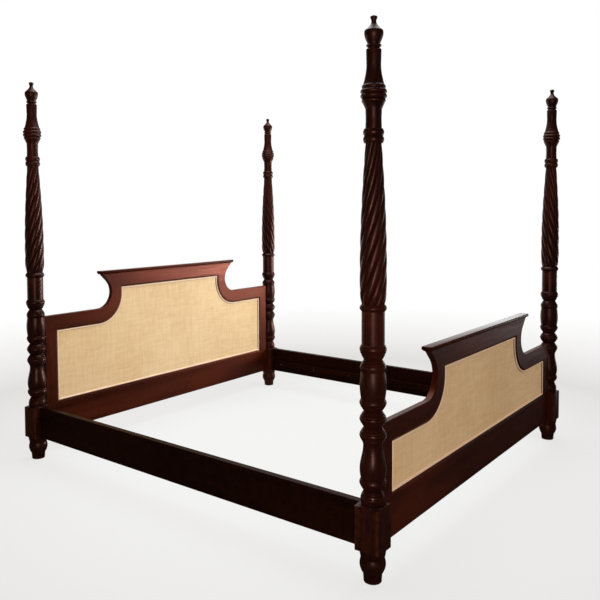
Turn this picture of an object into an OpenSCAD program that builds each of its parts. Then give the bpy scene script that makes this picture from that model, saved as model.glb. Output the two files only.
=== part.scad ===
// A four-poster bed frame with rope-twist posts.
// The head lies at +Y, the foot at -Y, and the floor is z = 0 under the middle of the bed.
// Left and right are those of a person who stands at the foot and looks at the head.

/* [Overall] */
// Clear width between the posts, which is the length of each board's bottom rail
board_span = 1943; // [1700:1:2100]
// Length of each side rail between the posts
rail_len = 2078; // [1900:1:2150]
// Height of the undersides of the rails above the floor
foot_h = 125; // [110:1:170]
// Height of the side rails
rail_h = 171; // [150:1:220]
// Thickness of the side rails
rail_t = 32; // [26:1:44]

/* [Posts] */
// Side of the square stock that each post is turned from
post_side = 102; // [92:1:120]
// How far the widest rings stay inside the faces of the square stock
ring_inset = 0.5; // [0.5:0.5:4]
// Height of the square block that takes the rails
block_h = 172; // [172:1:230]
// How far the block's corners fall away below its top, where the lathe's round begins
block_fall = 7; // [5:1:16]
// Width taken off each upright corner of the block
block_chamfer = 4; // [1:0.5:6]
// Radius of the waists between the rings
waist_r = 34; // [28:0.5:40]
// Height from one ring's crest to the next across a waist
spool_h = 60; // [44:1:70]
// Height of the rounded lip beyond a ring's crest
lip_h = 15; // [7:1:18]
// Height of the ball between the block and its crest
ball_rise = 21; // [12:1:30]
// How much smaller the ball is than the rings
ball_less = 4; // [0:0.5:6]
// Height of the vase over the block, from its foot to its neck
vase_h = 125; // [110:1:170]
// Height of the vase's fullest point above its foot
vase_full_h = 34; // [24:1:50]
// Widest radius of the vase
vase_r = 49.5; // [44:0.5:50.5]
// Radius of the neck of the vase
neck_r = 36.5; // [30:0.5:42]
// Height from the neck of the vase up to the next ring's crest
neck_rise = 39; // [28:1:50]
// Height of the barrel above the spools
barrel_h = 102; // [80:1:140]
// Widest radius of the barrel
barrel_r = 50; // [45:0.5:50.5]
// Height from the barrel up to the crest of the bead over it
bead_rise = 16; // [12:1:26]
// How much smaller that bead is than the rings
bead_less = 2; // [0:0.5:5]
// Height from that bead's crest to the crest of the ring above it
upper_spool_h = 67; // [52:1:76]
// Height of the waist between them above the bead's crest
upper_waist_h = 28; // [20:1:36]
// Height of the plain shaft under the rope twist
shaft_h = 125; // [90:1:170]
// Radius of the plain shaft
shaft_r = 43; // [36:0.5:46]
// Radius where a lip meets the vase, the barrel or the shaft
notch_r = 45; // [38:0.5:47]

/* [Foot] */
// Radius of the flat face that stands on the floor
toe_r = 34; // [24:0.5:40]
// Height of the plain toe of the foot
toe_h = 31; // [20:1:44]
// How much wider the toe is at its top than at the floor
toe_flare = 2; // [0:0.5:5]
// Radius of the bulb near the top of the foot
bun_r = 49.5; // [42:0.5:50.5]
// Height of the bulb's widest ring above the floor
bun_z = 69; // [60:1:84]
// Height of the neck above the bulb's widest ring
foot_neck_rise = 24; // [16:1:30]
// Radius of the neck between the bulb and the block
foot_neck_r = 45; // [38:0.5:47]

/* [Rope twist] */
// Height of the plain ring under the rope twist
twist_ring_h = 26; // [14:1:32]
// Height of the rope-twisted part
twist_h = 590; // [480:1:700]
// Number of reeds round the post
reeds = 8; // [6:1:12]
// Height in which a reed moves on by its own width
reed_pitch = 77; // [60:1:100]
// Depth of the hollows between the reeds, as a share of the radius
reed_depth = 0.12; // [0.05:0.01:0.15]
// Radius of the reeds at their fullest
twist_r = 50; // [44:0.5:50.5]
// Radius of the reeds where they spring from the ring
twist_foot_r = 42; // [34:0.5:42.5]
// Radius of the reeds at the top
twist_top_r = 30; // [26:0.5:36]
// Height of the rounded lower end of the reeds
twist_round_h = 48; // [30:1:70]
// Height over which the reeds keep their full radius, with the rounded end
twist_full_h = 130; // [90:1:200]

/* [Post top] */
// Height of each bead of the double collar
collar_h = 26; // [16:1:32]
// Radius of the collar's beads
collar_r = 38.5; // [34:0.5:44]
// Depth of the hollows beside the collar's beads
collar_cut = 4; // [2:0.5:7]
// Radius of the slender neck above the collar
slim_r = 29; // [24:0.5:32]
// How much wider that neck is at its ends
slim_flare = 1; // [0:0.5:4]
// Height of that neck
slim_h = 71; // [56:1:100]
// Height of the slope under the ringed bulb
slope_h = 22; // [12:1:30]
// Height of each of the bulb's four rings
bulb_ring_h = 16.5; // [12:0.5:20]
// Radius of the bulb's widest rings
bulb_r = 48.5; // [44:0.5:49.5]
// Depth of the hollows between the bulb's rings
bulb_cut = 4; // [2:0.5:6]
// How much smaller the bulb's outer rings are
bulb_less = 4.5; // [2:0.5:8]
// Height of the plain sweep above the bulb
sweep_h = 131; // [100:1:160]
// Radius of that sweep at its narrowest
sweep_r = 27; // [22:0.5:30]

/* [Finial] */
// Height of the finial's bead, with the fillet under it
finial_bead_h = 15; // [10:1:20]
// Height of the groove over that bead
finial_groove_h = 4; // [3:1:6]
// Height from the groove to the finial's fullest point
finial_belly_h = 36; // [26:1:46]
// Height of the finial's rounded edge above its fullest point
finial_edge_h = 9; // [5:1:12]
// Height of the sweep from that edge up to the stem
finial_sweep_h = 33; // [24:1:42]
// Height of the stem's flare up to the button
finial_stem_h = 15; // [10:1:20]
// Height of the button's round top
button_h = 8; // [6:1:12]
// Widest radius of the finial
finial_r = 35; // [29:0.5:42]
// Radius of the finial's stem under its button
stem_r = 9; // [7:0.5:12]
// Radius of the button at the tip
button_r = 13; // [10:0.5:16]

/* [Boards] */
// Height of the top of the headboard
head_h = 1020; // [980:5:1100]
// Height of the top of the footboard
foot_board_h = 815; // [780:5:880]
// Thickness of the frames of the boards
board_t = 28; // [24:1:36]
// Width of the stiles beside the posts
stile_w = 77.5; // [60:0.5:100]
// Height of the low shoulder rails over the woven panel
shoulder_h = 89; // [70:1:110]
// Height of the crest rail between the woven panel and the cap
crest_h = 88; // [70:1:110]
// How far the raised middle of the panel stands above its shoulders
panel_step = 209; // [190:1:240]
// How far the boards' bottom rails stand above the side rails
panel_lift = 1; // [0:1:12]
// Half the width of the panel's raised middle
panel_neck = 430; // [360:5:480]
// Radius of the panel's inward curve
panel_curve = 172; // [130:1:185]
// Width of the frame at the narrowest point beside the raised middle
neck_w = 78; // [60:1:100]
// Radius of the scroll cut in the frame's outline
scroll_r = 96; // [84:1:104]
// Thickness of the cap on the crest rail
cap_t = 19; // [12:1:30]
// How far the cap stands out on each face of the frame
cap_out = 11; // [6:1:20]
// How far the cap runs past the tips of the crest rail
cap_end = 8; // [3:1:20]
// Height of the small hollow under the cap's round nose
cap_hollow = 3; // [2:0.5:5]
// How far the nose falls back at its upper and lower edges
nose_fall = 4; // [2:0.5:6]

/* [Panels] */
// Thickness of the backing board in each panel
core_t = 5; // [4:0.5:8]
// How far the backing board reaches into the frame's groove
core_lap = 8; // [5:1:12]
// Thickness of each woven sheet
weave_t = 1.2; // [0.8:0.1:2]
// Width of the reed bead round each woven sheet
bead_w = 11; // [7:0.5:16]
// Height of the reed bead above the woven sheet
bead_h = 7; // [4:0.5:8]

/* [Cleats] */
// Height of the tops of the cleats that carry the mattress base
cleat_z = 210; // [200:1:260]
// Height of each cleat
cleat_h = 40; // [30:1:50]
// Width of each cleat
cleat_w = 30; // [20:1:40]
// Distance from each cleat's end to the end of its rail
cleat_inset = 60; // [40:5:120]
// Distance from a cleat's end to its first screw
cleat_margin = 50; // [30:5:90]
// How far the cleats' screws reach into the rails
cleat_bite = 19; // [12:1:24]
// Number of screws in each cleat
cleat_screw_count = 7; // [4:1:12]

/* [Joinery] */
// Thickness of the tenons on the bottom rails
rail_tenon_t = 12; // [8:1:16]
// Length of the tenons on the bottom rails
rail_tenon_len = 35; // [20:1:40]
// Height of the tenons on the bottom rails
rail_tenon_h = 120; // [80:1:130]
// Thickness of the stub tenons inside the frames
stub_t = 10; // [8:1:12]
// Length of the stub tenons inside the frames
stub_len = 25; // [15:1:35]
// Shoulder left on either side of each stub tenon
stub_inset = 14; // [10:1:18]
// Radius of the dowels between the boards and the posts
dowel_r = 5; // [4:0.5:6]
// How far each dowel reaches into the post and into the board
dowel_half = 28; // [20:1:34]
// Radius of the steel rods that join the two parts of each post
rod_r = 6; // [5:0.5:8]
// How far each rod reaches into either part of the post
rod_half = 60; // [45:1:80]
// Outer radius of the brass sockets that take the rods
socket_r = 9.5; // [8.5:0.5:12]
// Radius of the pins that hold the finials
pin_r = 4; // [3:0.5:5]
// How far each pin reaches into the post and into the finial
pin_half = 32; // [20:1:40]

/* [Rail fittings] */
// Height of the steel plates that join the side rails to the posts
plate_h = 130; // [110:1:136]
// Width of those plates
plate_w = 22; // [18:1:26]
// Thickness of those plates
plate_t = 3; // [2:0.5:4]
// Height of each hook on a rail plate
hook_h = 26; // [20:1:30]
// Distance between the two hooks, centre to centre
hook_gap = 50; // [40:1:56]
// Height of the lip that drops behind the slotted plate
hook_lip = 8; // [5:1:10]
// How far a hook reaches past the end of its rail
hook_reach = 13; // [10:1:16]
// Radius of the screws' shanks
screw_r = 2; // [1.5:0.5:3]
// Length of the screws in the plates
screw_len = 32; // [20:1:40]

/* [Hidden] */
$fn = 48;
// Air left where one piece slides into another
fit = 0.1;
// Air left at the blind end of a mortise or a bore
end_gap = 1;
// Air round the hooks in the pocket behind the slotted plate
pocket_air = 3;
// Thickness of the closed bottom of each brass socket
socket_floor = 3;
// Pieces that an element of a turned outline is divided into
cuts = 5;
// Power of the way from a crest to a waist by which a ring's flank falls
flank_bend = 1.5;
// Straight stretches in a sawn quarter curve
saw_cuts = 12;
// Rings and points of the faceted rope twist, and how far its ends lie inside the ring and the collar
twist_rings = 24;
round_rings = 4;
reed_points = 6;
sunk = 3;
// A little more than nothing, so that cutters pass right through
over = 0.5;

ring_r = post_side / 2 - ring_inset;
post_x = (board_span + post_side) / 2;
post_y = (rail_len + post_side) / 2;
block_top = foot_h + block_h;
// Just beyond the chamfered corners of the block
corner_r = norm([post_side / 2, post_side / 2 - block_chamfer]) + over;
// Crests and seams of the turned lower post, from the block upwards
ball_z = block_top + ball_rise;
base_ring_z = ball_z + spool_h;
vase_z = base_ring_z + lip_h;
vase_max_z = vase_z + vase_full_h;
neck_z = vase_z + vase_h;
spool_z = neck_z + neck_rise;
barrel_z = spool_z + 2 * spool_h + lip_h;
barrel_top_z = barrel_z + barrel_h;
upper_bead_z = barrel_top_z + bead_rise;
upper_waist_z = upper_bead_z + upper_waist_h;
upper_ring_z = upper_bead_z + upper_spool_h;
shaft_z = upper_ring_z + lip_h;
joint_z = shaft_z + shaft_h;
// Seams of the upper post
twist_z = joint_z + twist_ring_h;
collar_z = twist_z + twist_h;
slim_z = collar_z + 2 * collar_h;
bulb_z = slim_z + slim_h + slope_h;
sweep_z = bulb_z + 4 * bulb_ring_h;
finial_z = sweep_z + sweep_h;
// Seams of the finial
finial_groove_z = finial_z + finial_bead_h;
finial_waist_z = finial_groove_z + finial_groove_h;
finial_belly_z = finial_waist_z + finial_belly_h;
finial_edge_z = finial_belly_z + finial_edge_h;
finial_stem_z = finial_edge_z + finial_sweep_h;
finial_button_z = finial_stem_z + finial_stem_h;
// The foot's neck, and the eased edge of its flat face
foot_neck_z = bun_z + foot_neck_rise;
toe_ease = 2;
// Outline of the boards
half_span = board_span / 2;
panel_half = half_span - stile_w;
panel_z = foot_h + rail_h + panel_lift;
scroll_x = panel_neck + neck_w + scroll_r;

STEEL = [0.62, 0.62, 0.64];
BRASS = [0.75, 0.6, 0.3];
WOOD = [0.25, 0.09, 0.06];
DARK = [0.2, 0.07, 0.05];
REED = [0.86, 0.68, 0.46];
WOVEN = [0.84, 0.72, 0.5];
PLY = [0.72, 0.56, 0.38];

CORNERS = [[-1, 1], [1, 1], [-1, -1], [1, -1]];

// ---- Turned outlines: each function gives [radius, height] points, without its first ----

// Out to a fullest point, or in from it: round there, and tight at the other end
function swell(z0, r0, z1, r1) =
    [for (i = [1 : cuts]) let (t = i / cuts) [r0 + (r1 - r0) * sin(90 * t), z0 + (z1 - z0) * t]];
function shrink(z0, r0, z1, r1) =
    [for (i = [1 : cuts]) let (t = i / cuts) [r1 + (r0 - r1) * cos(90 * t), z0 + (z1 - z0) * t]];
// A ring's flank, nearly level at the crest and sloping where it meets the flank of the next ring
function flank_down(z0, crest, z1, waist) =
    [for (i = [1 : cuts]) let (t = i / cuts)
        [crest + (waist - crest) * pow(t, flank_bend), z0 + (z1 - z0) * t]];
function flank_up(z0, waist, z1, crest) =
    [for (i = [1 : cuts]) let (t = i / cuts)
        [crest + (waist - crest) * pow(1 - t, flank_bend), z0 + (z1 - z0) * t]];
// A hollow sweep that leaves r0 steeply and ends upright at r1
function sweep(z0, r0, z1, r1) =
    [for (i = [1 : 2 * cuts]) let (t = i / (2 * cuts))
        [r1 + (r0 - r1) * (1 - sin(90 * t)), z0 + (z1 - z0) * t]];
// A double curve, level at both ends
function ogee(z0, r0, z1, r1) =
    [for (i = [1 : cuts]) let (t = i / cuts)
        [r0 + (r1 - r0) * (1 - cos(180 * t)) / 2, z0 + (z1 - z0) * t]];
// A half-round bead that stands out from r0 to r_crest
function bead(z0, r0, z1, r_crest) =
    [for (i = [1 : cuts]) let (t = i / cuts)
        [r0 + (r_crest - r0) * sin(180 * t), z0 + (z1 - z0) * t]];

foot_outline = concat(
    [[0, 0], [toe_r - toe_ease, 0]],
    [[toe_r, toe_ease], [toe_r + toe_flare, toe_h]],
    swell(toe_h, toe_r + toe_flare, bun_z, bun_r),
    shrink(bun_z, bun_r, foot_neck_z, foot_neck_r),
    swell(foot_neck_z, foot_neck_r, foot_h, ring_r),
    [[ring_r, foot_h + over], [0, foot_h + over]]
);

lower_outline = concat(
    [[0, block_top - ball_rise], [notch_r, block_top - ball_rise], [notch_r, block_top]],
    swell(block_top, notch_r, ball_z, ring_r - ball_less),
    flank_down(ball_z, ring_r - ball_less, ball_z + spool_h / 2, waist_r),
    flank_up(ball_z + spool_h / 2, waist_r, base_ring_z, ring_r),
    shrink(base_ring_z, ring_r, vase_z, notch_r),
    swell(vase_z, notch_r, vase_max_z, vase_r),
    ogee(vase_max_z, vase_r, neck_z, neck_r),
    ogee(neck_z, neck_r, spool_z, ring_r),
    [for (k = [0 : 1]) for (p = concat(
        flank_down(spool_z + k * spool_h, ring_r, spool_z + (k + 0.5) * spool_h, waist_r),
        flank_up(spool_z + (k + 0.5) * spool_h, waist_r, spool_z + (k + 1) * spool_h, ring_r))) p],
    shrink(barrel_z - lip_h, ring_r, barrel_z, notch_r),
    swell(barrel_z, notch_r, barrel_z + barrel_h / 2, barrel_r),
    shrink(barrel_z + barrel_h / 2, barrel_r, barrel_top_z, notch_r),
    swell(barrel_top_z, notch_r, upper_bead_z, ring_r - bead_less),
    flank_down(upper_bead_z, ring_r - bead_less, upper_waist_z, waist_r),
    flank_up(upper_waist_z, waist_r, upper_ring_z, ring_r),
    shrink(upper_ring_z, ring_r, shaft_z, notch_r),
    [[shaft_r, shaft_z + 1], [shaft_r, joint_z], [0, joint_z]]
);

twist_ring_outline = concat(
    [[0, joint_z], [shaft_r, joint_z]],
    bead(joint_z, shaft_r, twist_z, ring_r),
    [[0, twist_z]]
);

bulb_low_r = bulb_r - bulb_cut - bulb_less;
// How much wider the sweep is at its top
sweep_flare = 1;
// Rounded shoulder under the finial, and the seat on it
finial_seat_h = 7;
finial_seat_in = 4.5;
finial_seat_r = sweep_r - finial_seat_in;

top_outline = concat(
    [[0, collar_z], [collar_r - collar_cut, collar_z]],
    bead(collar_z, collar_r - collar_cut, collar_z + collar_h, collar_r),
    bead(collar_z + collar_h, collar_r - collar_cut, slim_z, collar_r),
    [[slim_r + slim_flare, slim_z]],
    ogee(slim_z, slim_r + slim_flare, slim_z + slim_h / 2, slim_r),
    ogee(slim_z + slim_h / 2, slim_r, bulb_z - slope_h, slim_r + slim_flare),
    [[bulb_low_r, bulb_z]],
    bead(bulb_z, bulb_low_r, bulb_z + bulb_ring_h, bulb_r - bulb_less),
    [[bulb_r - bulb_cut, bulb_z + bulb_ring_h]],
    bead(bulb_z + bulb_ring_h, bulb_r - bulb_cut, bulb_z + 2 * bulb_ring_h, bulb_r),
    bead(bulb_z + 2 * bulb_ring_h, bulb_r - bulb_cut, bulb_z + 3 * bulb_ring_h, bulb_r),
    [[bulb_low_r, bulb_z + 3 * bulb_ring_h]],
    bead(bulb_z + 3 * bulb_ring_h, bulb_low_r, sweep_z, bulb_r - bulb_less),
    sweep(sweep_z, bulb_low_r, sweep_z + sweep_h / 2, sweep_r),
    [[sweep_r + sweep_flare, finial_z - finial_seat_h]],
    shrink(finial_z - finial_seat_h, sweep_r + sweep_flare, finial_z, finial_seat_r),
    [[0, finial_z]]
);

// Fillet under the finial's bead, groove over it, and the fall of the finial's rounded edge
finial_fillet_h = 4;
finial_bead_r = sweep_r + 1;
finial_groove_r = finial_bead_r - 4;
finial_ease = 1.5;

finial_outline = concat(
    [[0, finial_z], [finial_seat_r, finial_z], [finial_seat_r, finial_z + finial_fillet_h]],
    bead(finial_z + finial_fillet_h, finial_seat_r, finial_groove_z, finial_bead_r),
    [[finial_groove_r, finial_waist_z]],
    swell(finial_waist_z, finial_groove_r, finial_belly_z, finial_r),
    shrink(finial_belly_z, finial_r, finial_edge_z, finial_r - finial_ease),
    sweep(finial_edge_z, finial_r - finial_ease, finial_stem_z, stem_r),
    ogee(finial_stem_z, stem_r, finial_button_z, button_r),
    shrink(finial_button_z, button_r, finial_button_z + button_h, 0)
);

module turned(points) rotate_extrude() polygon(points);

// ---- Posts ----

// Moves a thing to its corner; the right-hand posts are mirror images of the left-hand ones
module at_corner(c) translate([c[0] * post_x, c[1] * post_y, 0]) children();

// The square block with its chamfered corners, and the lathe's round shoulder where it ends
module block() intersection() {
    half = post_side / 2;
    in = half - block_chamfer;
    translate([0, 0, foot_h]) linear_extrude(block_h)
        polygon([[half, -in], [half, in], [in, half], [-in, half],
            [-half, in], [-half, -in], [-in, -half], [in, -half]]);
    turned(concat(
        [[0, foot_h - over], [corner_r, foot_h - over], [corner_r, block_top - block_fall]],
        swell(block_top - block_fall, corner_r, block_top, ring_r),
        [[0, block_top]]));
}

// Mortise for a bottom rail's tenon, open on the block's face towards the middle of the bed
module rail_mortise(c) {
    depth = rail_tenon_len + end_gap;
    wide = rail_tenon_t + 2 * fit;
    high = rail_tenon_h + 2 * fit;
    translate([-c[0] * (post_side - depth + over) / 2, 0, foot_h + rail_h / 2])
        cube([depth + over, wide, high], center = true);
}

// Pilot bore of a screw, from a face inwards along +Z
module pilot(depth) translate([0, 0, -over]) cylinder(r = screw_r + fit / 2, h = depth + over);

// Seat and pocket for the slotted plate and the hooks behind it
module plate_seat(c) {
    face_y = -c[1] * post_side / 2;
    translate([0, face_y + c[1] * (plate_t - over) / 2, foot_h + rail_h / 2])
        cube([plate_w + 2 * fit, plate_t + over, plate_h + 2 * fit], center = true);
    pocket = hook_reach + pocket_air;
    pocket_h = hook_gap + hook_h + hook_lip + 2 * pocket_air;
    translate([0, face_y + c[1] * pocket / 2, foot_h + (rail_h + hook_lip) / 2])
        cube([plate_t + 2 * pocket_air, pocket, pocket_h], center = true);
    for (k = [-1, 1]) translate([0, face_y, foot_h + rail_h / 2 + k * screw_dz])
        rotate([-c[1] * 90, 0, 0]) pilot(screw_len);
}

// Bores for the dowels of a board, open towards the middle of the bed
module dowel_bores(c) for (z = dowel_heights(c[1])) translate([0, 0, z])
    rotate([0, -c[0] * 90, 0]) translate([0, 0, post_side / 2 - dowel_half - end_gap])
        cylinder(r = dowel_r + fit / 2, h = post_side);

// One dowel where the vase is fullest, and one at mid-height of the shoulder rail
function dowel_heights(side) = [vase_max_z, panel_low(side) + shoulder_h / 2];
// Height of the plates' screws above and below their middle
screw_dz = plate_h / 2 - 4 * screw_r;

module post_lower(c) color(WOOD) at_corner(c) difference() {
    union() {
        turned(foot_outline);
        block();
        turned(lower_outline);
    }
    rail_mortise(c);
    plate_seat(c);
    dowel_bores(c);
    translate([0, 0, joint_z - rod_half - end_gap])
        cylinder(r = socket_r + fit / 2, h = rod_half + end_gap + over);
}

// Fullness of the rope twist at a height above its lower end
function twist_radius(h) = h < twist_round_h
    ? twist_foot_r + (twist_r - twist_foot_r) * sin(90 * max(h, 0) / twist_round_h)
    : h < twist_full_h ? twist_r
    : twist_top_r + (twist_r - twist_top_r)
        * cos(90 * (min(h, twist_h) - twist_full_h) / (twist_h - twist_full_h));
// Heights of the rings: closer together in the rounded end, with the first and the last one sunk
function ring_height(i) = i == 0 ? -sunk
    : i <= round_rings ? twist_round_h * (1 - cos(90 * i / round_rings))
    : i == twist_rings ? twist_h + sunk
    : twist_round_h + (twist_h - twist_round_h) * (i - round_rings) / (twist_rings - round_rings);

// Reeds that climb round the post; turn is 1 or -1
module rope_twist(turn) {
    n = reeds * reed_points;
    points = [for (i = [0 : twist_rings]) let (h = ring_height(i), r = twist_radius(h))
        for (k = [0 : n - 1]) let (
            a = 360 * k / n + turn * 360 / reeds * h / reed_pitch,
            rr = r * (1 - reed_depth * (1 - abs(cos(180 * k / reed_points)))))
            [rr * cos(a), rr * sin(a), twist_z + h]];
    sides = [for (i = [0 : twist_rings - 1]) for (k = [0 : n - 1])
        let (a = i * n + k, b = i * n + (k + 1) % n)
        for (f = turn > 0 ? [[a, a + n, b], [b, a + n, b + n]] : [[a, b + n, b], [a, a + n, b + n]]) f];
    polyhedron(points, concat([[for (k = [0 : n - 1]) k]], sides,
        [[for (k = [n - 1 : -1 : 0]) twist_rings * n + k]]));
}

module post_upper(c) color(WOOD) at_corner(c) difference() {
    union() {
        turned(twist_ring_outline);
        rope_twist(-c[0]);
        turned(top_outline);
    }
    translate([0, 0, joint_z - over]) cylinder(r = rod_r + fit / 2, h = rod_half + end_gap + over);
    translate([0, 0, finial_z - pin_half - end_gap])
        cylinder(r = pin_r + fit / 2, h = pin_half + end_gap + over);
}

module finial(c) color(DARK) at_corner(c) difference() {
    turned(finial_outline);
    translate([0, 0, finial_z - over]) cylinder(r = pin_r + fit / 2, h = pin_half + end_gap + over);
}

module finial_pins() color(STEEL) for (c = CORNERS) at_corner(c)
    translate([0, 0, finial_z - pin_half]) cylinder(r = pin_r, h = 2 * pin_half);

module post_rods() color(STEEL) for (c = CORNERS) at_corner(c)
    translate([0, 0, joint_z - rod_half + socket_floor])
        cylinder(r = rod_r, h = 2 * rod_half - socket_floor);

// Sockets closed at the bottom, sunk flush in the lower posts
module post_sockets() color(BRASS) for (c = CORNERS) at_corner(c)
    translate([0, 0, joint_z - rod_half]) difference() {
        cylinder(r = socket_r, h = rod_half);
        translate([0, 0, socket_floor]) cylinder(r = rod_r + fit / 2, h = rod_half);
    }

// ---- Side rails and what carries the mattress base ----

// Seat for a hook plate in the end of a rail; side is 1 at the head and -1 at the foot
module rail_end_seat(side) {
    translate([0, side * (rail_len / 2 - (plate_t - over) / 2), foot_h + rail_h / 2])
        cube([plate_w + 2 * fit, plate_t + over, plate_h + 2 * fit], center = true);
    for (k = [-1, 1]) translate([0, side * rail_len / 2, foot_h + rail_h / 2 + k * screw_dz])
        rotate([side * 90, 0, 0]) pilot(screw_len);
}

module side_rail(side) color(WOOD) translate([side * post_x, 0, 0]) difference() {
    translate([-rail_t / 2, -rail_len / 2, foot_h]) cube([rail_t, rail_len, rail_h]);
    for (end = [-1, 1]) rail_end_seat(end);
    for (y = cleat_screw_ys) translate([-side * rail_t / 2, y, cleat_z - cleat_h / 2])
        rotate([0, side * 90, 0]) pilot(cleat_bite + end_gap);
}

cleat_len = rail_len - 2 * cleat_inset;
cleat_screw_ys = [for (i = [0 : cleat_screw_count - 1])
    -cleat_len / 2 + cleat_margin + i * (cleat_len - 2 * cleat_margin) / (cleat_screw_count - 1)];

module cleat(side) color(WOOD) difference() {
    translate([side * (post_x - (rail_t + cleat_w) / 2), 0, cleat_z - cleat_h / 2])
        cube([cleat_w, cleat_len, cleat_h], center = true);
    for (y = cleat_screw_ys) translate([side * (post_x - rail_t / 2 - cleat_w), y, cleat_z - cleat_h / 2])
        rotate([0, side * 90, 0]) screw_room(cleat_w);
}

// A countersunk wood screw that points along +Z from its head's face
module screw(len) {
    cylinder(r1 = screw_r * 2, r2 = screw_r, h = screw_r);
    cylinder(r = screw_r, h = len);
}
module screw_room(depth) {
    cylinder(r1 = screw_r * 2 + fit, r2 = screw_r, h = screw_r + fit);
    translate([0, 0, -over]) cylinder(r = screw_r * 2 + fit, h = over);
    pilot(depth + over);
}

module cleat_screws() color(STEEL) for (side = [-1, 1], y = cleat_screw_ys)
    translate([side * (post_x - rail_t / 2 - cleat_w), y, cleat_z - cleat_h / 2])
        rotate([0, side * 90, 0]) screw(cleat_w + cleat_bite);

// Side view of a hook: its height runs along x, and its reach along y
module hook_2d() {
    top = hook_h / 2;
    neck = hook_lip - hook_h / 2;
    behind = plate_t + end_gap;
    polygon([[top, -plate_t / 2], [top - hook_lip / 2, hook_reach], [-top, hook_reach],
        [-top, behind], [neck, behind], [neck, -plate_t / 2]]);
}

// A plate flush with the end of a rail, with two hooks that drop behind the slotted plate
module rail_hook_plates() color(STEEL) for (c = CORNERS)
    translate([c[0] * post_x, c[1] * rail_len / 2, foot_h + rail_h / 2]) scale([1, c[1], 1]) difference() {
        union() {
            translate([-plate_w / 2, -plate_t, -plate_h / 2]) cube([plate_w, plate_t, plate_h]);
            for (k = [-1, 1]) translate([plate_t / 2, 0, k * hook_gap / 2]) rotate([0, -90, 0])
                linear_extrude(plate_t) hook_2d();
        }
        for (k = [-1, 1]) translate([0, 0, k * screw_dz]) rotate([90, 0, 0]) screw_room(plate_t);
    }

// A plate flush with the face of a block, with two slots that take the hooks
module post_slot_plates() color(STEEL) for (c = CORNERS)
    translate([c[0] * post_x, c[1] * rail_len / 2, foot_h + rail_h / 2]) scale([1, c[1], 1]) difference() {
        translate([-plate_w / 2, 0, -plate_h / 2]) cube([plate_w, plate_t, plate_h]);
        for (k = [-1, 1]) translate([-plate_t / 2 - end_gap, -over, (k * hook_gap - hook_h) / 2 + hook_lip])
            cube([plate_t + 2 * end_gap, plate_t + 2 * over, hook_h + end_gap]);
        for (k = [-1, 1]) translate([0, 0, k * screw_dz]) rotate([-90, 0, 0]) screw_room(plate_t);
    }

module plate_screws() color(STEEL) for (c = CORNERS, k = [-1, 1], into = [-1, 1])
    translate([c[0] * post_x, c[1] * rail_len / 2, foot_h + rail_h / 2 + k * screw_dz])
        rotate([-c[1] * into * 90, 0, 0]) screw(screw_len - end_gap);

// ---- Boards: side is 1 for the headboard and -1 for the footboard ----

function board_h(side) = side > 0 ? head_h : foot_board_h;
function panel_top(side) = board_h(side) - cap_t - crest_h;
function panel_low(side) = panel_top(side) - panel_step;
function scroll_z(side) = panel_low(side) + shoulder_h + scroll_r;
function crest_top(side) = board_h(side) - cap_t;
// The scroll runs from level at the shoulder to a slope of 45 degrees towards the tip
tip_slope = 45;
function tip_x(side) = scroll_x - scroll_r * cos(tip_slope)
    + crest_top(side) - scroll_z(side) - scroll_r * sin(tip_slope);
// Angle on the scroll's circle at the height of the panel's top edge
function seam_angle(side) = 180 - asin((panel_top(side) - scroll_z(side)) / scroll_r);

function arc(x, z, r, from, to, steps) =
    [for (i = [0 : steps]) let (a = from + (to - from) * i / steps) [x + r * cos(a), z + r * sin(a)]];
function flip(points) = [for (i = [len(points) - 1 : -1 : 0]) [-points[i][0], points[i][1]]];

// Right half of the panel's opening, grown outwards by o, from the bottom to the top
function opening_half(side, o) = concat(
    [[panel_half + o, panel_z - o], [panel_half + o, panel_low(side) + o]],
    arc(panel_neck + panel_curve, panel_low(side) + panel_curve, panel_curve - o, 270, 180, saw_cuts),
    [[panel_neck + o, panel_top(side) + o]]
);
module opening(side, o) {
    half = opening_half(side, o);
    polygon(concat(half, flip(half)));
}

// Stands a flat drawing up in the plane of a board, t thick, its middle y_in in from the board's middle
module upright(side, t, y_in = 0) translate([0, side * (post_y - y_in), 0]) rotate([90, 0, 0])
    linear_extrude(t, center = true) children();

// Room for the backing board in the frame
module core_groove(side) upright(side, core_t + 2 * fit) opening(side, core_lap + end_gap);

module box_2d(x0, z0, x1, z1) polygon([[x0, z0], [x1, z0], [x1, z1], [x0, z1]]);
// Reach of a stub tenon, or of its mortise, which has room around it and air at its end
function stub_reach(room) = stub_len + (room > 0 ? end_gap : 0);
// Stub tenon at the foot or the head of a stile, way = -1 or 1 from height z, or its mortise
module stile_stub(side, hand, z, way, room) upright(side, stub_t + 2 * room)
    scale([hand, 1]) box_2d(panel_half + stub_inset - room, z - (way > 0 ? over : stub_reach(room)),
        half_span - stub_inset + room, z + (way > 0 ? stub_reach(room) : over));
// Stub tenon from a shoulder up into the crest rail, or its mortise
module crest_stub(side, hand, room) upright(side, stub_t + 2 * room)
    scale([hand, 1]) box_2d(panel_neck + stub_inset - room, panel_top(side) - over,
        panel_neck + neck_w - stub_inset + room, panel_top(side) + stub_reach(room));

// Bore for a dowel in the upright edge of a board
module board_bore(side, hand, z) translate([hand * half_span, side * post_y, z])
    rotate([0, -hand * 90, 0]) translate([0, 0, -over])
        cylinder(r = dowel_r + fit / 2, h = dowel_half + end_gap + over);

module bottom_rail(side) color(WOOD) difference() {
    union() {
        upright(side, board_t) box_2d(-half_span, foot_h, half_span, panel_z);
        translate([0, side * post_y, foot_h + rail_h / 2])
            cube([board_span + 2 * rail_tenon_len, rail_tenon_t, rail_tenon_h], center = true);
    }
    core_groove(side);
    for (hand = [-1, 1]) stile_stub(side, hand, panel_z, -1, fit);
}

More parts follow.
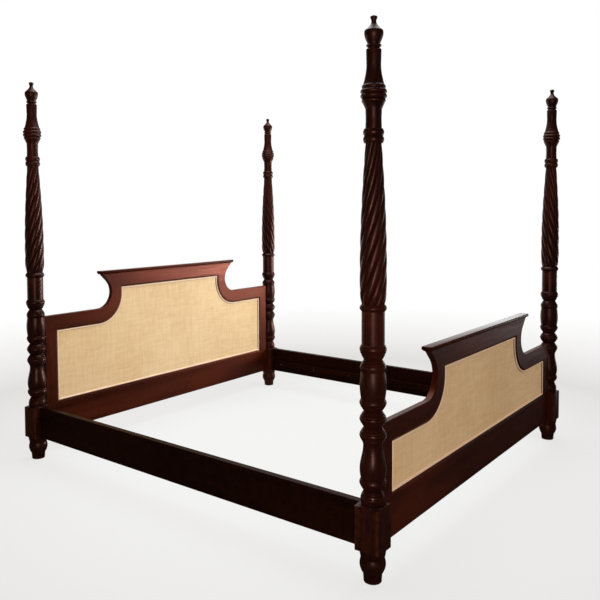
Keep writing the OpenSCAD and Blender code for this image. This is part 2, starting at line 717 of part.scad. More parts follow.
module stile(side, hand) color(WOOD) difference() {
    union() {
        upright(side, board_t) scale([hand, 1])
            box_2d(panel_half, panel_z, half_span, panel_low(side));
        stile_stub(side, hand, panel_z, -1, 0);
        stile_stub(side, hand, panel_low(side), 1, 0);
    }
    core_groove(side);
    board_bore(side, hand, dowel_heights(side)[0]);
}

module shoulder(side, hand) color(WOOD) difference() {
    union() {
        upright(side, board_t) scale([hand, 1]) polygon(concat(
            [[half_span, panel_low(side)], [half_span, panel_low(side) + shoulder_h]],
            arc(scroll_x, scroll_z(side), scroll_r, 270, seam_angle(side), saw_cuts),
            [[panel_neck, panel_top(side)]],
            arc(panel_neck + panel_curve, panel_low(side) + panel_curve, panel_curve, 180, 270, saw_cuts)
        ));
        crest_stub(side, hand, 0);
    }
    core_groove(side);
    stile_stub(side, hand, panel_low(side), 1, fit);
    board_bore(side, hand, dowel_heights(side)[1]);
}

module crest_rail(side) {
    half = concat([[0, panel_top(side)]],
        arc(scroll_x, scroll_z(side), scroll_r, seam_angle(side), 180 - tip_slope, cuts),
        [[tip_x(side), crest_top(side)]]);
    color(WOOD) difference() {
        upright(side, board_t) polygon(concat(half, flip(half)));
        core_groove(side);
        for (hand = [-1, 1]) crest_stub(side, hand, fit);
    }
}

// The cap's edge is a round nose over a small hollow
module cap(side) color(WOOD) translate([0, side * post_y, crest_top(side)]) rotate([90, 0, 90])
    linear_extrude(2 * (tip_x(side) + cap_end), center = true) {
        nose_x = board_t / 2 + cap_out - nose_fall;
        nose_r = (cap_t - cap_hollow) / 2;
        half = concat([[0, 0], [board_t / 2 + cap_hollow, 0], [nose_x - cap_hollow, cap_hollow]],
            [for (a = [-90 : 30 : 90]) [nose_x + nose_fall * cos(a), cap_t - nose_r + nose_r * sin(a)]],
            [[0, cap_t]]);
        polygon(concat(half, flip(half)));
    }

module panel_core(side) color(PLY) upright(side, core_t) opening(side, core_lap);

// face is 1 on the side of the mattress and -1 on the outside
module weave(side, face) color(WOVEN)
    upright(side, weave_t, face * (core_t + weave_t) / 2) opening(side, -fit);

module reed_bead(side, face) color(REED) upright(side, bead_h, face * (core_t / 2 + weave_t + bead_h / 2))
    difference() {
        opening(side, -fit);
        opening(side, -bead_w);
    }

module board_dowels() color(PLY) for (c = CORNERS, z = dowel_heights(c[1]))
    translate([c[0] * half_span, c[1] * post_y, z]) rotate([0, c[0] * 90, 0])
        translate([0, 0, -dowel_half]) cylinder(r = dowel_r, h = 2 * dowel_half);

post_lower(CORNERS[0]);  // post_lower_head_left
post_lower(CORNERS[1]);  // post_lower_head_right
post_lower(CORNERS[2]);  // post_lower_foot_left
post_lower(CORNERS[3]);  // post_lower_foot_right
post_upper(CORNERS[0]);  // post_upper_head_left
post_upper(CORNERS[1]);  // post_upper_head_right
post_upper(CORNERS[2]);  // post_upper_foot_left
post_upper(CORNERS[3]);  // post_upper_foot_right
finial(CORNERS[0]);  // finial_head_left
finial(CORNERS[1]);  // finial_head_right
finial(CORNERS[2]);  // finial_foot_left
finial(CORNERS[3]);  // finial_foot_right
finial_pins();
post_rods();
post_sockets();
side_rail(-1);  // side_rail_left
side_rail(1);  // side_rail_right
cleat(-1);  // cleat_left
cleat(1);  // cleat_right
cleat_screws();
rail_hook_plates();
post_slot_plates();
plate_screws();
board_dowels();
bottom_rail(1);  // head_bottom_rail
stile(1, -1);  // head_stile_left
stile(1, 1);  // head_stile_right
shoulder(1, -1);  // head_shoulder_left
shoulder(1, 1);  // head_shoulder_right
crest_rail(1);  // head_crest_rail
cap(1);  // head_cap
panel_core(1);  // head_panel_core
weave(1, 1);  // head_weave_inner
weave(1, -1);  // head_weave_outer
reed_bead(1, 1);  // head_bead_inner
reed_bead(1, -1);  // head_bead_outer
bottom_rail(-1);  // foot_bottom_rail
stile(-1, -1);  // foot_stile_left
stile(-1, 1);  // foot_stile_right
shoulder(-1, -1);  // foot_shoulder_left
shoulder(-1, 1);  // foot_shoulder_right
crest_rail(-1);  // foot_crest_rail
cap(-1);  // foot_cap
panel_core(-1);  // foot_panel_core
weave(-1, 1);  // foot_weave_inner
weave(-1, -1);  // foot_weave_outer
reed_bead(-1, 1);  // foot_bead_inner
reed_bead(-1, -1);  // foot_bead_outer
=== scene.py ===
# %% [markdown]
# # A four-poster bed with rope-twist posts
# This file dresses the exact construction model of the bed: every piece of wood, weave, metal and reed gets
# its surface, its eased edges and its finish. Nothing moves and nothing changes its size. The head of
# the bed lies at +Y, its foot at -Y, and the floor is z = 0. Sizes are in metres.

from math import asin, cos, degrees, pi, radians, sin, sqrt

import bmesh
import bpy
from mathutils import Matrix, Vector


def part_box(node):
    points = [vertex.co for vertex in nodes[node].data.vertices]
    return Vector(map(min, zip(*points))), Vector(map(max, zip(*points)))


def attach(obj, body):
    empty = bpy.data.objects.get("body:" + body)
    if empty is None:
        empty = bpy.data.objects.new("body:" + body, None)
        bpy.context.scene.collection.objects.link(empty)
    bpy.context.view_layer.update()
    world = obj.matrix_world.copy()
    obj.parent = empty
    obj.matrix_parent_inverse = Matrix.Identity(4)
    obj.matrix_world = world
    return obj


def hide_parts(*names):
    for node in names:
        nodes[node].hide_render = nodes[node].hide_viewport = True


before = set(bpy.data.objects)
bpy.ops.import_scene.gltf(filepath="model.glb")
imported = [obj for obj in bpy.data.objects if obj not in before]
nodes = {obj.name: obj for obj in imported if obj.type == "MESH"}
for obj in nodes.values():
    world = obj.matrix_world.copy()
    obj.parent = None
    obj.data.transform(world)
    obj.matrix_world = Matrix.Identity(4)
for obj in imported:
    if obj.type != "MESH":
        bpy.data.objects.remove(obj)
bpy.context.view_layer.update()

# %% [markdown]
# ## The camera
# The photograph was taken from the left of the foot, at about eye height. A photographer who wants upright
# posts keeps the camera level and shifts the lens instead of tilting it, and so does this camera: it looks
# down by only a few degrees.

# %% Camera at the photograph's view
CAMERA_PLACE = (-3.2507, -2.4226, 1.3974)
CAMERA_TURN = radians(-52.568)
CAMERA_DOWN = radians(2.639)
CAMERA_ROLL = radians(-0.18)
SENSOR_MM = 36
LENS_MM = 42.228
LENS_SHIFT = (0.01224, -0.09906)

bpy.ops.object.camera_add(location=CAMERA_PLACE)
camera = bpy.context.object
camera.name = "camera"
camera.matrix_world = (Matrix.Translation(CAMERA_PLACE) @ Matrix.Rotation(CAMERA_TURN, 4, "Z")
                       @ Matrix.Rotation(pi / 2 - CAMERA_DOWN, 4, "X") @ Matrix.Rotation(CAMERA_ROLL, 4, "Z"))
camera.data.sensor_width = SENSOR_MM
camera.data.lens = LENS_MM
camera.data.shift_x, camera.data.shift_y = LENS_SHIFT
bpy.context.scene.camera = camera
bpy.context.scene.view_settings.view_transform = "Standard"

# %% [markdown]
# ## Measures taken from the frame
# A joiner marks out from what already stands on the bench. Here that is the construction model: each measure
# is read from one of its pieces.

# %% Measures
PANEL_GROOVE = 0.008
HANDS = {"left": -1, "right": 1}
CORNERS = {"head_left": (-1, 1), "head_right": (1, 1), "foot_left": (-1, -1), "foot_right": (1, -1)}

lower_low, lower_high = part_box("post_lower_foot_right")
finial_low, finial_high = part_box("finial_foot_right")
stile_low, stile_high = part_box("head_stile_right")

POST_X = (lower_low.x + lower_high.x) / 2
POST_Y = -(lower_low.y + lower_high.y) / 2
BLOCK_HALF = (lower_high.x - lower_low.x) / 2
JOINT_Z = lower_high.z
FOOT_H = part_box("side_rail_right")[0].z
FINIAL_Z, TIP_Z = finial_low.z, finial_high.z
HALF_SPAN, PANEL_HALF = stile_high.x, stile_low.x
PANEL_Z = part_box("head_panel_core")[0].z + PANEL_GROOVE
BOARD_T = stile_high.y - stile_low.y
print(f"posts at x {POST_X:.4f}, y {POST_Y:.4f}; post joint at {JOINT_Z:.3f}; panel from {PANEL_Z:.3f} up")

# %% [markdown]
# ## Drawing with points
# Almost every piece starts as a drawn outline: one point, extruded again and again along the shape, as a
# pencil draws on a plank. The helpers below start such a line, carry it on and close it.

# %% Helpers for lines, selections and modifiers
def begin(name, primitive, **size):
    """A named primitive, open in edit mode and selected all over."""
    bpy.ops.object.select_all(action="DESELECT")
    primitive(**size)
    piece = bpy.context.object
    piece.name = piece.data.name = name
    bpy.ops.object.mode_set(mode="EDIT")
    bpy.ops.mesh.select_mode(type="VERT")
    bpy.ops.mesh.select_all(action="SELECT")
    return piece


def new_piece(name):
    """An empty mesh at the origin, open in edit mode."""
    piece = begin(name, bpy.ops.mesh.primitive_plane_add, size=0.001)
    bpy.ops.mesh.delete(type="VERT")
    return piece


def new_block(name, low, high):
    """A cube primitive, drawn out in edit mode to fill a box."""
    piece = begin(name, bpy.ops.mesh.primitive_cube_add, size=1)
    bpy.ops.transform.resize(value=Vector(high) - Vector(low), center_override=(0, 0, 0))
    bpy.ops.transform.translate(value=(Vector(high) + Vector(low)) / 2)
    return piece


def pick(piece):
    """Selects one piece alone, in object mode."""
    bpy.ops.object.select_all(action="DESELECT")
    piece.select_set(True)
    bpy.context.view_layer.objects.active = piece


def close(piece):
    """Leaves edit mode and counts what was made."""
    bpy.ops.object.mode_set(mode="OBJECT")
    print(f"{piece.name}: {len(piece.data.vertices)} points, {len(piece.data.polygons)} faces")
    return piece


def select_points(piece, wanted):
    """Selects the points whose number is in wanted, in edit mode."""
    mesh = bmesh.from_edit_mesh(piece.data)
    for point in mesh.verts:
        point.select = point.index in wanted
    mesh.select_flush_mode()
    bmesh.update_edit_mesh(piece.data)


def bevel_edges(piece, test, width, segments=3):
    """Bevels the edges whose two ends pass a test, in edit mode."""
    bpy.ops.mesh.select_all(action="DESELECT")
    bpy.ops.mesh.select_mode(type="EDGE")
    mesh = bmesh.from_edit_mesh(piece.data)
    for edge in mesh.edges:
        edge.select = test(edge.verts[0].co, edge.verts[1].co)
    mesh.select_flush_mode()
    bmesh.update_edit_mesh(piece.data)
    if any(edge.select for edge in mesh.edges):
        bpy.ops.mesh.bevel(offset=width, segments=segments, affect="EDGES", clamp_overlap=True)


def draw_line(piece, points, closed=False):
    """Draws a line of points, one extrusion after another, and returns the numbers of its points."""
    start = len(bmesh.from_edit_mesh(piece.data).verts)
    bpy.ops.mesh.select_all(action="DESELECT")
    bpy.ops.mesh.primitive_plane_add(size=0.001)
    bpy.ops.mesh.merge(type="CENTER")
    bpy.ops.transform.translate(value=points[0])
    for before, after in zip(points, points[1:]):
        stroke = Vector(after) - Vector(before)
        bpy.ops.mesh.extrude_vertices_move(TRANSFORM_OT_translate={"value": stroke})
    numbers = set(range(start, start + len(points)))
    if closed:
        select_points(piece, {start, start + len(points) - 1})
        bpy.ops.mesh.edge_face_add()
    select_points(piece, numbers)
    return numbers


def face_outwards():
    """Merges doubled points and turns every face of the open piece outwards."""
    bpy.ops.mesh.select_all(action="SELECT")
    bpy.ops.mesh.remove_doubles(threshold=1e-6)
    bpy.ops.mesh.normals_make_consistent(inside=False)


def extruded(name, points, push):
    """A closed line, filled with one face and extruded into a solid, open in edit mode."""
    piece = new_piece(name)
    draw_line(piece, points, closed=True)
    bpy.ops.mesh.edge_face_add()
    bpy.ops.mesh.extrude_region_move(TRANSFORM_OT_translate={"value": push})
    face_outwards()
    return piece


def cut_with(piece, tool, operation="DIFFERENCE"):
    """Applies a boolean modifier: takes a tool's shape out of a piece, joins it or keeps what both share."""
    modifier = piece.modifiers.new("cut", "BOOLEAN")
    modifier.operation, modifier.solver, modifier.object = operation, "EXACT", tool
    pick(piece)
    bpy.ops.object.modifier_apply(modifier=modifier.name)
    print(f"{piece.name} after the cut: {len(piece.data.polygons)} faces")


def smooth(piece, angle=35):
    """Shades a piece smooth, with a crease wherever two faces meet at more than an angle in degrees."""
    pick(piece)
    bpy.ops.object.shade_smooth_by_angle(angle=radians(angle))
    return piece


def discard(*pieces):
    """Puts away the shapes that only served as tools."""
    for piece in pieces:
        bpy.data.objects.remove(piece)


# %% [markdown]
# ## Turned outlines
# A turner reads a post as a row of a few simple cuts. A swell rises steeply out of a notch and rolls over a
# crest. A shrink is its mirror image. An ogee is level at both ends, and a bead is a half-round. The flanks
# of neighbouring rings slope towards each other and meet in a sharp waist. Each cut is a function that
# gives the radius at a share t of its height, and an outline is a list of cuts, one on top of the other.
# Last come the fine lines that set off the rings, each a small V. The CAD part leaves them out.

# %% Cuts of the turner
POINT_EVERY = 0.0016
FEWEST_POINTS = 6
FLANK_BEND = 1.5
LINE_HALF = 0.0012
LINE_DEPTH = 0.0024


def step(t, r0, r1):
    return r1


def swell(t, r0, r1):
    return r0 + (r1 - r0) * sin(pi / 2 * t)


def shrink(t, r0, r1):
    return r1 + (r0 - r1) * cos(pi / 2 * t)


def sweep_in(t, r0, r1):
    return r1 + (r0 - r1) * (1 - sin(pi / 2 * t))


def ogee(t, r0, r1):
    return r0 + (r1 - r0) * (1 - cos(pi * t)) / 2


def bead(t, r0, crest):
    return r0 + (crest - r0) * sin(pi * t)


def flank_down(t, crest, waist):
    return crest + (waist - crest) * t ** FLANK_BEND


def flank_up(t, waist, crest):
    return crest + (waist - crest) * (1 - t) ** FLANK_BEND


def outline(start, *cuts):
    """Points (radius, height) from a start through cuts of (kind, radius, height), given by their ends."""
    r0, z0 = start
    points = [start]
    for kind, r1, z1 in cuts:
        count = 1 if kind is step else max(FEWEST_POINTS, round(abs(z1 - z0) / POINT_EVERY))
        points += [(kind(i / count, r0, r1), z0 + (z1 - z0) * i / count) for i in range(1, count + 1)]
        r0, z0 = r0 if kind is bead else r1, z1
    return points


def lined(points, heights):
    """An outline with a fine V cut into it at each height, as the corner of the tool leaves it."""
    for height in heights:
        below = [(r, z) for r, z in points if z <= height - LINE_HALF]
        above = [(r, z) for r, z in points if z >= height + LINE_HALF]
        points = below + [((below[-1][0] + above[0][0]) / 2 - LINE_DEPTH, height)] + above
    return points


# %% [markdown]
# ## The lathe
# A lathe turns an outline about an axis, and so does Blender's spin. The outline starts and ends on the
# axis, so that the poles close when the doubled points are merged.

# %% Spin an outline
SPIN_STEPS = 72


def turned(name, points):
    """A solid of revolution round the z axis."""
    piece = new_piece(name)
    draw_line(piece, [(radius, 0, z) for radius, z in points])
    bpy.ops.mesh.select_all(action="SELECT")
    bpy.ops.mesh.spin(steps=SPIN_STEPS, angle=2 * pi, center=(0, 0, 0), axis=(0, 0, 1))
    face_outwards()
    return close(piece)


# %% [markdown]
# ## The lower part of a post
# Each post is turned from a square bar of mahogany, 102 mm on a side, which keeps its square block where
# the rails join it. A cube and stacked cylinders would not give the corners that fall away as the tool
# leaves them. So it is made as in the workshop: what is left lies inside both the square bar and the
# lathe's outline, which is one intersection.

# %% Outline of the lower post
RING_R = 0.0505
WAIST_R = 0.034
NECK_R = 0.0365
NOTCH_R = 0.045
SHAFT_R = 0.043
VASE_R = 0.0495
BARREL_R = 0.050
BALL_R = RING_R - 0.004
BEAD_R = RING_R - 0.002
FOOT_R = 0.0495
ANKLE_R = 0.0360
CORNER_R = 0.073

SPOOL_H = 0.060
LIP_H = 0.015
BLOCK_FALL = 0.007
ANKLE_Z = 0.031
FOOT_FULL_Z = 0.069
FOOT_NOTCH_Z = 0.093
BLOCK_TOP = FOOT_H + 0.172
BALL_Z = BLOCK_TOP + 0.021
BASE_RING_Z = BALL_Z + SPOOL_H
VASE_Z = BASE_RING_Z + LIP_H
VASE_FULL_Z = VASE_Z + 0.034
NECK_Z = VASE_Z + 0.125
SPOOL_Z = NECK_Z + 0.039
MID_RING_Z = SPOOL_Z + SPOOL_H
BARREL_Z = SPOOL_Z + 2 * SPOOL_H + LIP_H
BARREL_TOP = BARREL_Z + 0.102
BEAD_Z = BARREL_TOP + 0.016
UPPER_WAIST_Z = BEAD_Z + 0.028
UPPER_RING_Z = BEAD_Z + 0.067
SHAFT_Z = UPPER_RING_Z + LIP_H


def spool(z):
    """From one ring's crest down into a sharp waist and up to the next ring's crest."""
    return (flank_down, WAIST_R, z + SPOOL_H / 2), (flank_up, RING_R, z + SPOOL_H)


lower_outline = outline(
    (0, 0), (step, 0.0315, 0), (step, 0.0330, 0.0006), (step, 0.0340, 0.0025), (step, ANKLE_R, ANKLE_Z),
    (swell, FOOT_R, FOOT_FULL_Z), (shrink, NOTCH_R, FOOT_NOTCH_Z), (swell, RING_R, FOOT_H),
    (step, CORNER_R, FOOT_H), (step, CORNER_R, BLOCK_TOP - BLOCK_FALL), (swell, RING_R, BLOCK_TOP),
    (step, NOTCH_R, BLOCK_TOP), (swell, BALL_R, BALL_Z), *spool(BALL_Z), (shrink, NOTCH_R, VASE_Z),
    (swell, VASE_R, VASE_FULL_Z), (ogee, NECK_R, NECK_Z), (ogee, RING_R, SPOOL_Z), *spool(SPOOL_Z),
    *spool(MID_RING_Z), (shrink, NOTCH_R, BARREL_Z), (swell, BARREL_R, (BARREL_Z + BARREL_TOP) / 2),
    (shrink, NOTCH_R, BARREL_TOP), (swell, BEAD_R, BEAD_Z), (flank_down, WAIST_R, UPPER_WAIST_Z),
    (flank_up, RING_R, UPPER_RING_Z), (shrink, NOTCH_R, SHAFT_Z), (step, SHAFT_R, SHAFT_Z + 0.001),
    (step, SHAFT_R, JOINT_Z), (step, 0, JOINT_Z))

# %% Square bar, lathe, and what they share
BAR_CHAMFER = 0.004
BAR_ARRIS = 0.0007
BAR_SPARE = 0.05
LINES_FROM_CREST = (0.006, 0.017)
LINED_FLANKS = ((BALL_Z, 1), (BASE_RING_Z, -1), (SPOOL_Z, -1), (SPOOL_Z, 1), (MID_RING_Z, -1),
                (MID_RING_Z, 1), (MID_RING_Z + SPOOL_H, -1), (BEAD_Z, 1), (UPPER_RING_Z, -1))

ring_lines = sorted(crest + side * away for crest, side in LINED_FLANKS for away in LINES_FROM_CREST)
post_lower = turned("post_lower_model", lined(lower_outline, ring_lines))
bar = new_block("bar", (-BLOCK_HALF, -BLOCK_HALF, -BAR_SPARE), (BLOCK_HALF, BLOCK_HALF, JOINT_Z + BAR_SPARE))
for width, segments in ((BAR_CHAMFER, 1), (BAR_ARRIS, 2)):
    bevel_edges(bar, lambda a, b: abs(a.z - b.z) > 0.5, width, segments)
close(bar)
cut_with(post_lower, bar, "INTERSECT")
discard(bar)
smooth(post_lower)

# %% [markdown]
# ## The rope twist
# Eight convex reeds wind up the post like the strands of a rope. The same shape is a ring with eight lobes
# that is drawn upwards while it turns and changes its width. So it starts as a circle whose points between
# the crests are pushed in, and this ring is then extruded, turned and resized in small steps.

# %% Lobed ring, drawn up the post
REEDS = 8
REED_POINTS = 14
REED_PITCH = 0.077
REED_TURN = radians(360 / REEDS) / REED_PITCH
REED_SINK = 0.13
REED_ROUND = 0.94
TWIST_Z = JOINT_Z + 0.026
TWIST_H = 0.590
COLLAR_Z = TWIST_Z + TWIST_H
TWIST_FOOT_R = 0.042
TWIST_R = 0.050
TWIST_TOP_R = 0.030
TWIST_ROUND_H = 0.048
TWIST_FULL_H = 0.130
TWIST_SUNK = 0.003
TWIST_STEP = 0.0062


def reed_share(k):
    """Radius of point k of a reed as a share of its crest: round over the reed, sharp in the hollow."""
    across = 2 * k / REED_POINTS - 1
    return 1 - REED_SINK * (1 - sqrt(1 - REED_ROUND * across * across)) / (1 - sqrt(1 - REED_ROUND))


def twist_radius(h):
    """Fullness of the rope at a height above its lower end: round below, full, then slowly thinner."""
    if h < TWIST_ROUND_H:
        return TWIST_FOOT_R + (TWIST_R - TWIST_FOOT_R) * sin(pi / 2 * max(h, 0) / TWIST_ROUND_H)
    taper = max(0, min(h, TWIST_H) - TWIST_FULL_H) / (TWIST_H - TWIST_FULL_H)
    return TWIST_TOP_R + (TWIST_R - TWIST_TOP_R) * cos(pi / 2 * taper)


def widen(share):
    """Resizes what is selected about the z axis."""
    bpy.ops.transform.resize(value=(share, share, 1), center_override=(0, 0, 0))


ring_points = REEDS * REED_POINTS
rope = begin("rope_model", bpy.ops.mesh.primitive_circle_add, vertices=ring_points, radius=1)
for k in range(REED_POINTS):
    select_points(rope, set(range(k, ring_points, REED_POINTS)))
    widen(reed_share(k))
bpy.ops.mesh.select_all(action="SELECT")
height = -TWIST_SUNK
size = twist_radius(0)
widen(size)
bpy.ops.transform.translate(value=(0, 0, TWIST_Z + height))
steps = round((TWIST_H + 2 * TWIST_SUNK) / TWIST_STEP)
rise = (TWIST_H + 2 * TWIST_SUNK) / steps
for _ in range(steps):
    height += rise
    grown = twist_radius(height) / size
    size *= grown
    bpy.ops.mesh.extrude_region_move(TRANSFORM_OT_translate={"value": (0, 0, rise)})
    bpy.ops.transform.rotate(value=-REED_TURN * rise, orient_axis="Z", center_override=(0, 0, 0))
    widen(grown)
bpy.ops.mesh.edge_face_add()
select_points(rope, set(range(ring_points)))
bpy.ops.mesh.edge_face_add()
face_outwards()
close(rope)

# %% [markdown]
# ## The upper part of a post
# Over the rope sit a double collar, a slender neck, a bulb of four rings and a long sweep. Under it is one
# plain ring. These are turned and then joined to the rope with a union, because all of this is one piece of
# wood.

# %% Collar, neck, bulb and sweep
COLLAR_H = 0.026
COLLAR_R = 0.0385
COLLAR_GROOVE_R = COLLAR_R - 0.004
SLIM_R = 0.030
SLIM_WAIST_R = 0.029
BULB_RINGS = (0.040, 0.044), (0.0445, 0.0485), (0.0445, 0.0485), (0.040, 0.044)
SWEEP_R = 0.0385
SWEEP_WAIST_R = 0.0268
TOP_R = 0.0280
SEAT_R = 0.0225

SLIM_Z = COLLAR_Z + 2 * COLLAR_H
SLOPE_Z = SLIM_Z + 0.071
BULB_Z = SLOPE_Z + 0.022
BULB_RING_H = 0.0165
SWEEP_Z = BULB_Z + 4 * BULB_RING_H

bulb = []
for k, (groove, crest) in enumerate(BULB_RINGS):
    bulb += [(step, groove, BULB_Z + k * BULB_RING_H), (bead, crest, BULB_Z + (k + 1) * BULB_RING_H)]
ring_outline = outline((0, JOINT_Z), (step, SHAFT_R, JOINT_Z), (bead, RING_R, TWIST_Z), (step, 0, TWIST_Z))
upper_outline = outline(
    (0, COLLAR_Z), (step, COLLAR_GROOVE_R, COLLAR_Z), (bead, COLLAR_R, COLLAR_Z + COLLAR_H),
    (bead, COLLAR_R, SLIM_Z), (step, SLIM_R, SLIM_Z), (ogee, SLIM_WAIST_R, (SLIM_Z + SLOPE_Z) / 2),
    (ogee, SLIM_R, SLOPE_Z), *bulb, (step, SWEEP_R, SWEEP_Z + 0.001),
    (sweep_in, SWEEP_WAIST_R, SWEEP_Z + 0.072), (step, TOP_R, FINIAL_Z - 0.006), (shrink, SEAT_R, FINIAL_Z),
    (step, 0, FINIAL_Z))

ring = turned("ring_model", ring_outline)
post_upper = turned("post_upper_model", upper_outline)
cut_with(post_upper, rope, "UNION")
cut_with(post_upper, ring, "UNION")
discard(rope, ring)
smooth(post_upper)

# %% [markdown]
# ## The finial
# The finial is a small turning of its own on a steel pin: a bead, a groove, a full belly with a rounded
# edge, a sweep up to a thin stem and a round button.

# %% Finial outline
FILLET_Z = FINIAL_Z + 0.004
GROOVE_Z = FINIAL_Z + 0.015
BELLY_Z = GROOVE_Z + 0.040
EDGE_Z = BELLY_Z + 0.009
STEM_Z = EDGE_Z + 0.033
BUTTON_Z = STEM_Z + 0.015
GROOVE_R = 0.0235

fillet_outline = outline((0, FINIAL_Z), (step, SEAT_R, FINIAL_Z), (step, SEAT_R, FILLET_Z))
belly_outline = outline(
    (GROOVE_R, FILLET_Z), (bead, 0.028, GROOVE_Z), (step, GROOVE_R, GROOVE_Z + 0.001),
    (step, 0.0240, GROOVE_Z + 0.004), (swell, 0.035, BELLY_Z), (shrink, 0.0335, EDGE_Z),
    (sweep_in, 0.009, STEM_Z), (ogee, 0.0132, BUTTON_Z), (shrink, 0, TIP_Z))
finial = smooth(turned("finial_model", fillet_outline + belly_outline[1:]))

# %% [markdown]
# ## Copies at the four corners
# Each turning is modelled once, on the axis, and then copied to its corner. Every copy has its place in its
# own mesh, so that its object stays at the origin as the construction model's do. The reeds on the left and
# on the right wind opposite ways, so the copies on the right are mirrored. That also turns their faces, so
# these are set right again.

# %% Copy, mirror and place
made = {"mahogany": [], "woven_grass": [], "reed": []}


def put(piece, node, slot="mahogany"):
    """Hides the construction model's node that a piece stands for, hangs the piece on the root, and keeps it
    with its like.
    """
    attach(piece, "root")
    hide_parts(node)
    made[slot].append(piece)


for corner, (sx, sy) in CORNERS.items():
    for model, node in ((post_lower, "post_lower_"), (post_upper, "post_upper_"), (finial, "finial_")):
        pick(model)
        bpy.ops.object.duplicate(linked=False)
        piece = bpy.context.object
        piece.name = piece.data.name = node + corner + "_turned"
        bpy.ops.object.mode_set(mode="EDIT")
        bpy.ops.mesh.select_all(action="SELECT")
        if sx > 0:
            bpy.ops.transform.mirror(constraint_axis=(True, False, False), center_override=(0, 0, 0))
            bpy.ops.mesh.normals_make_consistent(inside=False)
        bpy.ops.transform.translate(value=(sx * POST_X, sy * POST_Y, 0))
        put(close(piece), node + corner)
discard(post_lower, post_upper, finial)

# %% [markdown]
# ## Outline of the boards
# Headboard and footboard have the same shape at two heights. The woven panel has low shoulders and a raised
# middle, joined by an inward quarter round. The frame follows it outside with a scroll that sweeps out into
# a horn under the cap. One function draws the opening and can also grow or shrink it, so that the bead, the
# weave and the moulded edge round it all follow the same line.

# %% The opening and the scroll
PANEL_NECK = 0.430
PANEL_CURVE = 0.172
SCROLL_R = 0.096
SCROLL_X = PANEL_NECK + 0.078 + SCROLL_R
SHOULDER_H = 0.089
HORN_ANGLE = 135
ARC_STEPS = 28


class Board:
    """Name, side and heights of one board, read from its nodes."""

    def __init__(self, name, way):
        crest_low, crest_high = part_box(name + "_crest_rail")
        self.name, self.way, self.y = name, way, way * POST_Y
        self.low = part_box(name + "_shoulder_right")[0].z
        self.top, self.crest, self.tip_x = crest_low.z, crest_high.z, crest_high.x
        self.scroll_z = self.low + SHOULDER_H + SCROLL_R
        self.seam_angle = 180 - degrees(asin((self.top - self.scroll_z) / SCROLL_R))
        print(f"{name}board: panel up to {self.low:.3f} and {self.top:.3f}, crest at {self.crest:.3f}")


def arc(x, z, radius, start, end, steps=ARC_STEPS):
    """Points along an arc, from one angle to another, in degrees."""
    angles = [radians(start + (end - start) * i / steps) for i in range(steps + 1)]
    return [(x + radius * cos(a), z + radius * sin(a)) for a in angles]


def flipped(line, sign=-1):
    """A line, or its mirror image where the sign is -1."""
    return [(sign * x, z) for x, z in line]


def both_sides(half):
    """A right half and its mirror image, as one closed line."""
    return half + flipped(reversed(half))


def opening(board, grow):
    """The panel's opening, grown outwards by a distance."""
    return both_sides([(PANEL_HALF + grow, PANEL_Z - grow), (PANEL_HALF + grow, board.low + grow)]
                      + arc(PANEL_NECK + PANEL_CURVE, board.low + PANEL_CURVE, PANEL_CURVE - grow, 270, 180)
                      + [(PANEL_NECK + grow, board.top + grow)])


boards = [Board("head", 1), Board("foot", -1)]

# %% [markdown]
# ## Planks
# A frame piece is a sawn plank: a drawn outline, filled with one face, extruded by the thickness of the
# wood. Its outer arrises are eased, as sandpaper leaves them, while edges that meet another piece stay
# square, so that the joints stay closed.

# %% Saw a plank and ease its outer arrises
ARRIS = 0.0022
SAME = 1e-5


def on_line(point, line):
    """Whether a point of a plank lies on one of the points of a line."""
    return any(abs(point.x - x) < SAME and abs(point.z - z) < SAME for x, z in line)


def plank(name, points, y, thickness, eased=()):
    """A plank with its outline in the XZ plane and its middle at y, eased where it follows a line."""
    piece = extruded(name, [(x, y - thickness / 2, z) for x, z in points], (0, thickness, 0))
    bevel_edges(piece, lambda a, b: abs(a.y - b.y) < SAME and on_line(a, eased) and on_line(b, eased), ARRIS)
    return close(piece)


# %% [markdown]
# ## The moulded edge round the panel
# The frame's inner edge slopes down to the panel and turns the corners with mitres. On the real frame a
# cutter runs round the opening. Here a plug with the cutter's shape is bridged from four loops of the
# opening, each grown by another distance. The planks are sawn a little too large towards the panel, and the
# plug is taken out of each.

# %% Solids bridged from loops of the opening
SLOPE_W = 0.009
SLOPE_D = 0.0045
PLUG_PROUD = 0.002


def bridged(board, name, section, capped=True):
    """A solid bridged from loops of the opening; each is (how far it is grown, its depth from the board)."""
    piece = new_piece(name)
    loops = [draw_line(piece, [(x, board.y + depth, z) for x, z in opening(board, grow)], closed=True)
             for grow, depth in section]
    for one, other in zip(loops, loops[1:] if capped else loops[1:] + loops[:1]):
        select_points(piece, one | other)
        bpy.ops.mesh.bridge_edge_loops()
    for end in (loops[0], loops[-1]) if capped else ():
        select_points(piece, end)
        bpy.ops.mesh.edge_face_add()
    face_outwards()
    return close(piece)


# %% Frame pieces of both boards
SPARE = 0.012
CORNER_ANGLE = 262
FLAT_ANGLE = 14

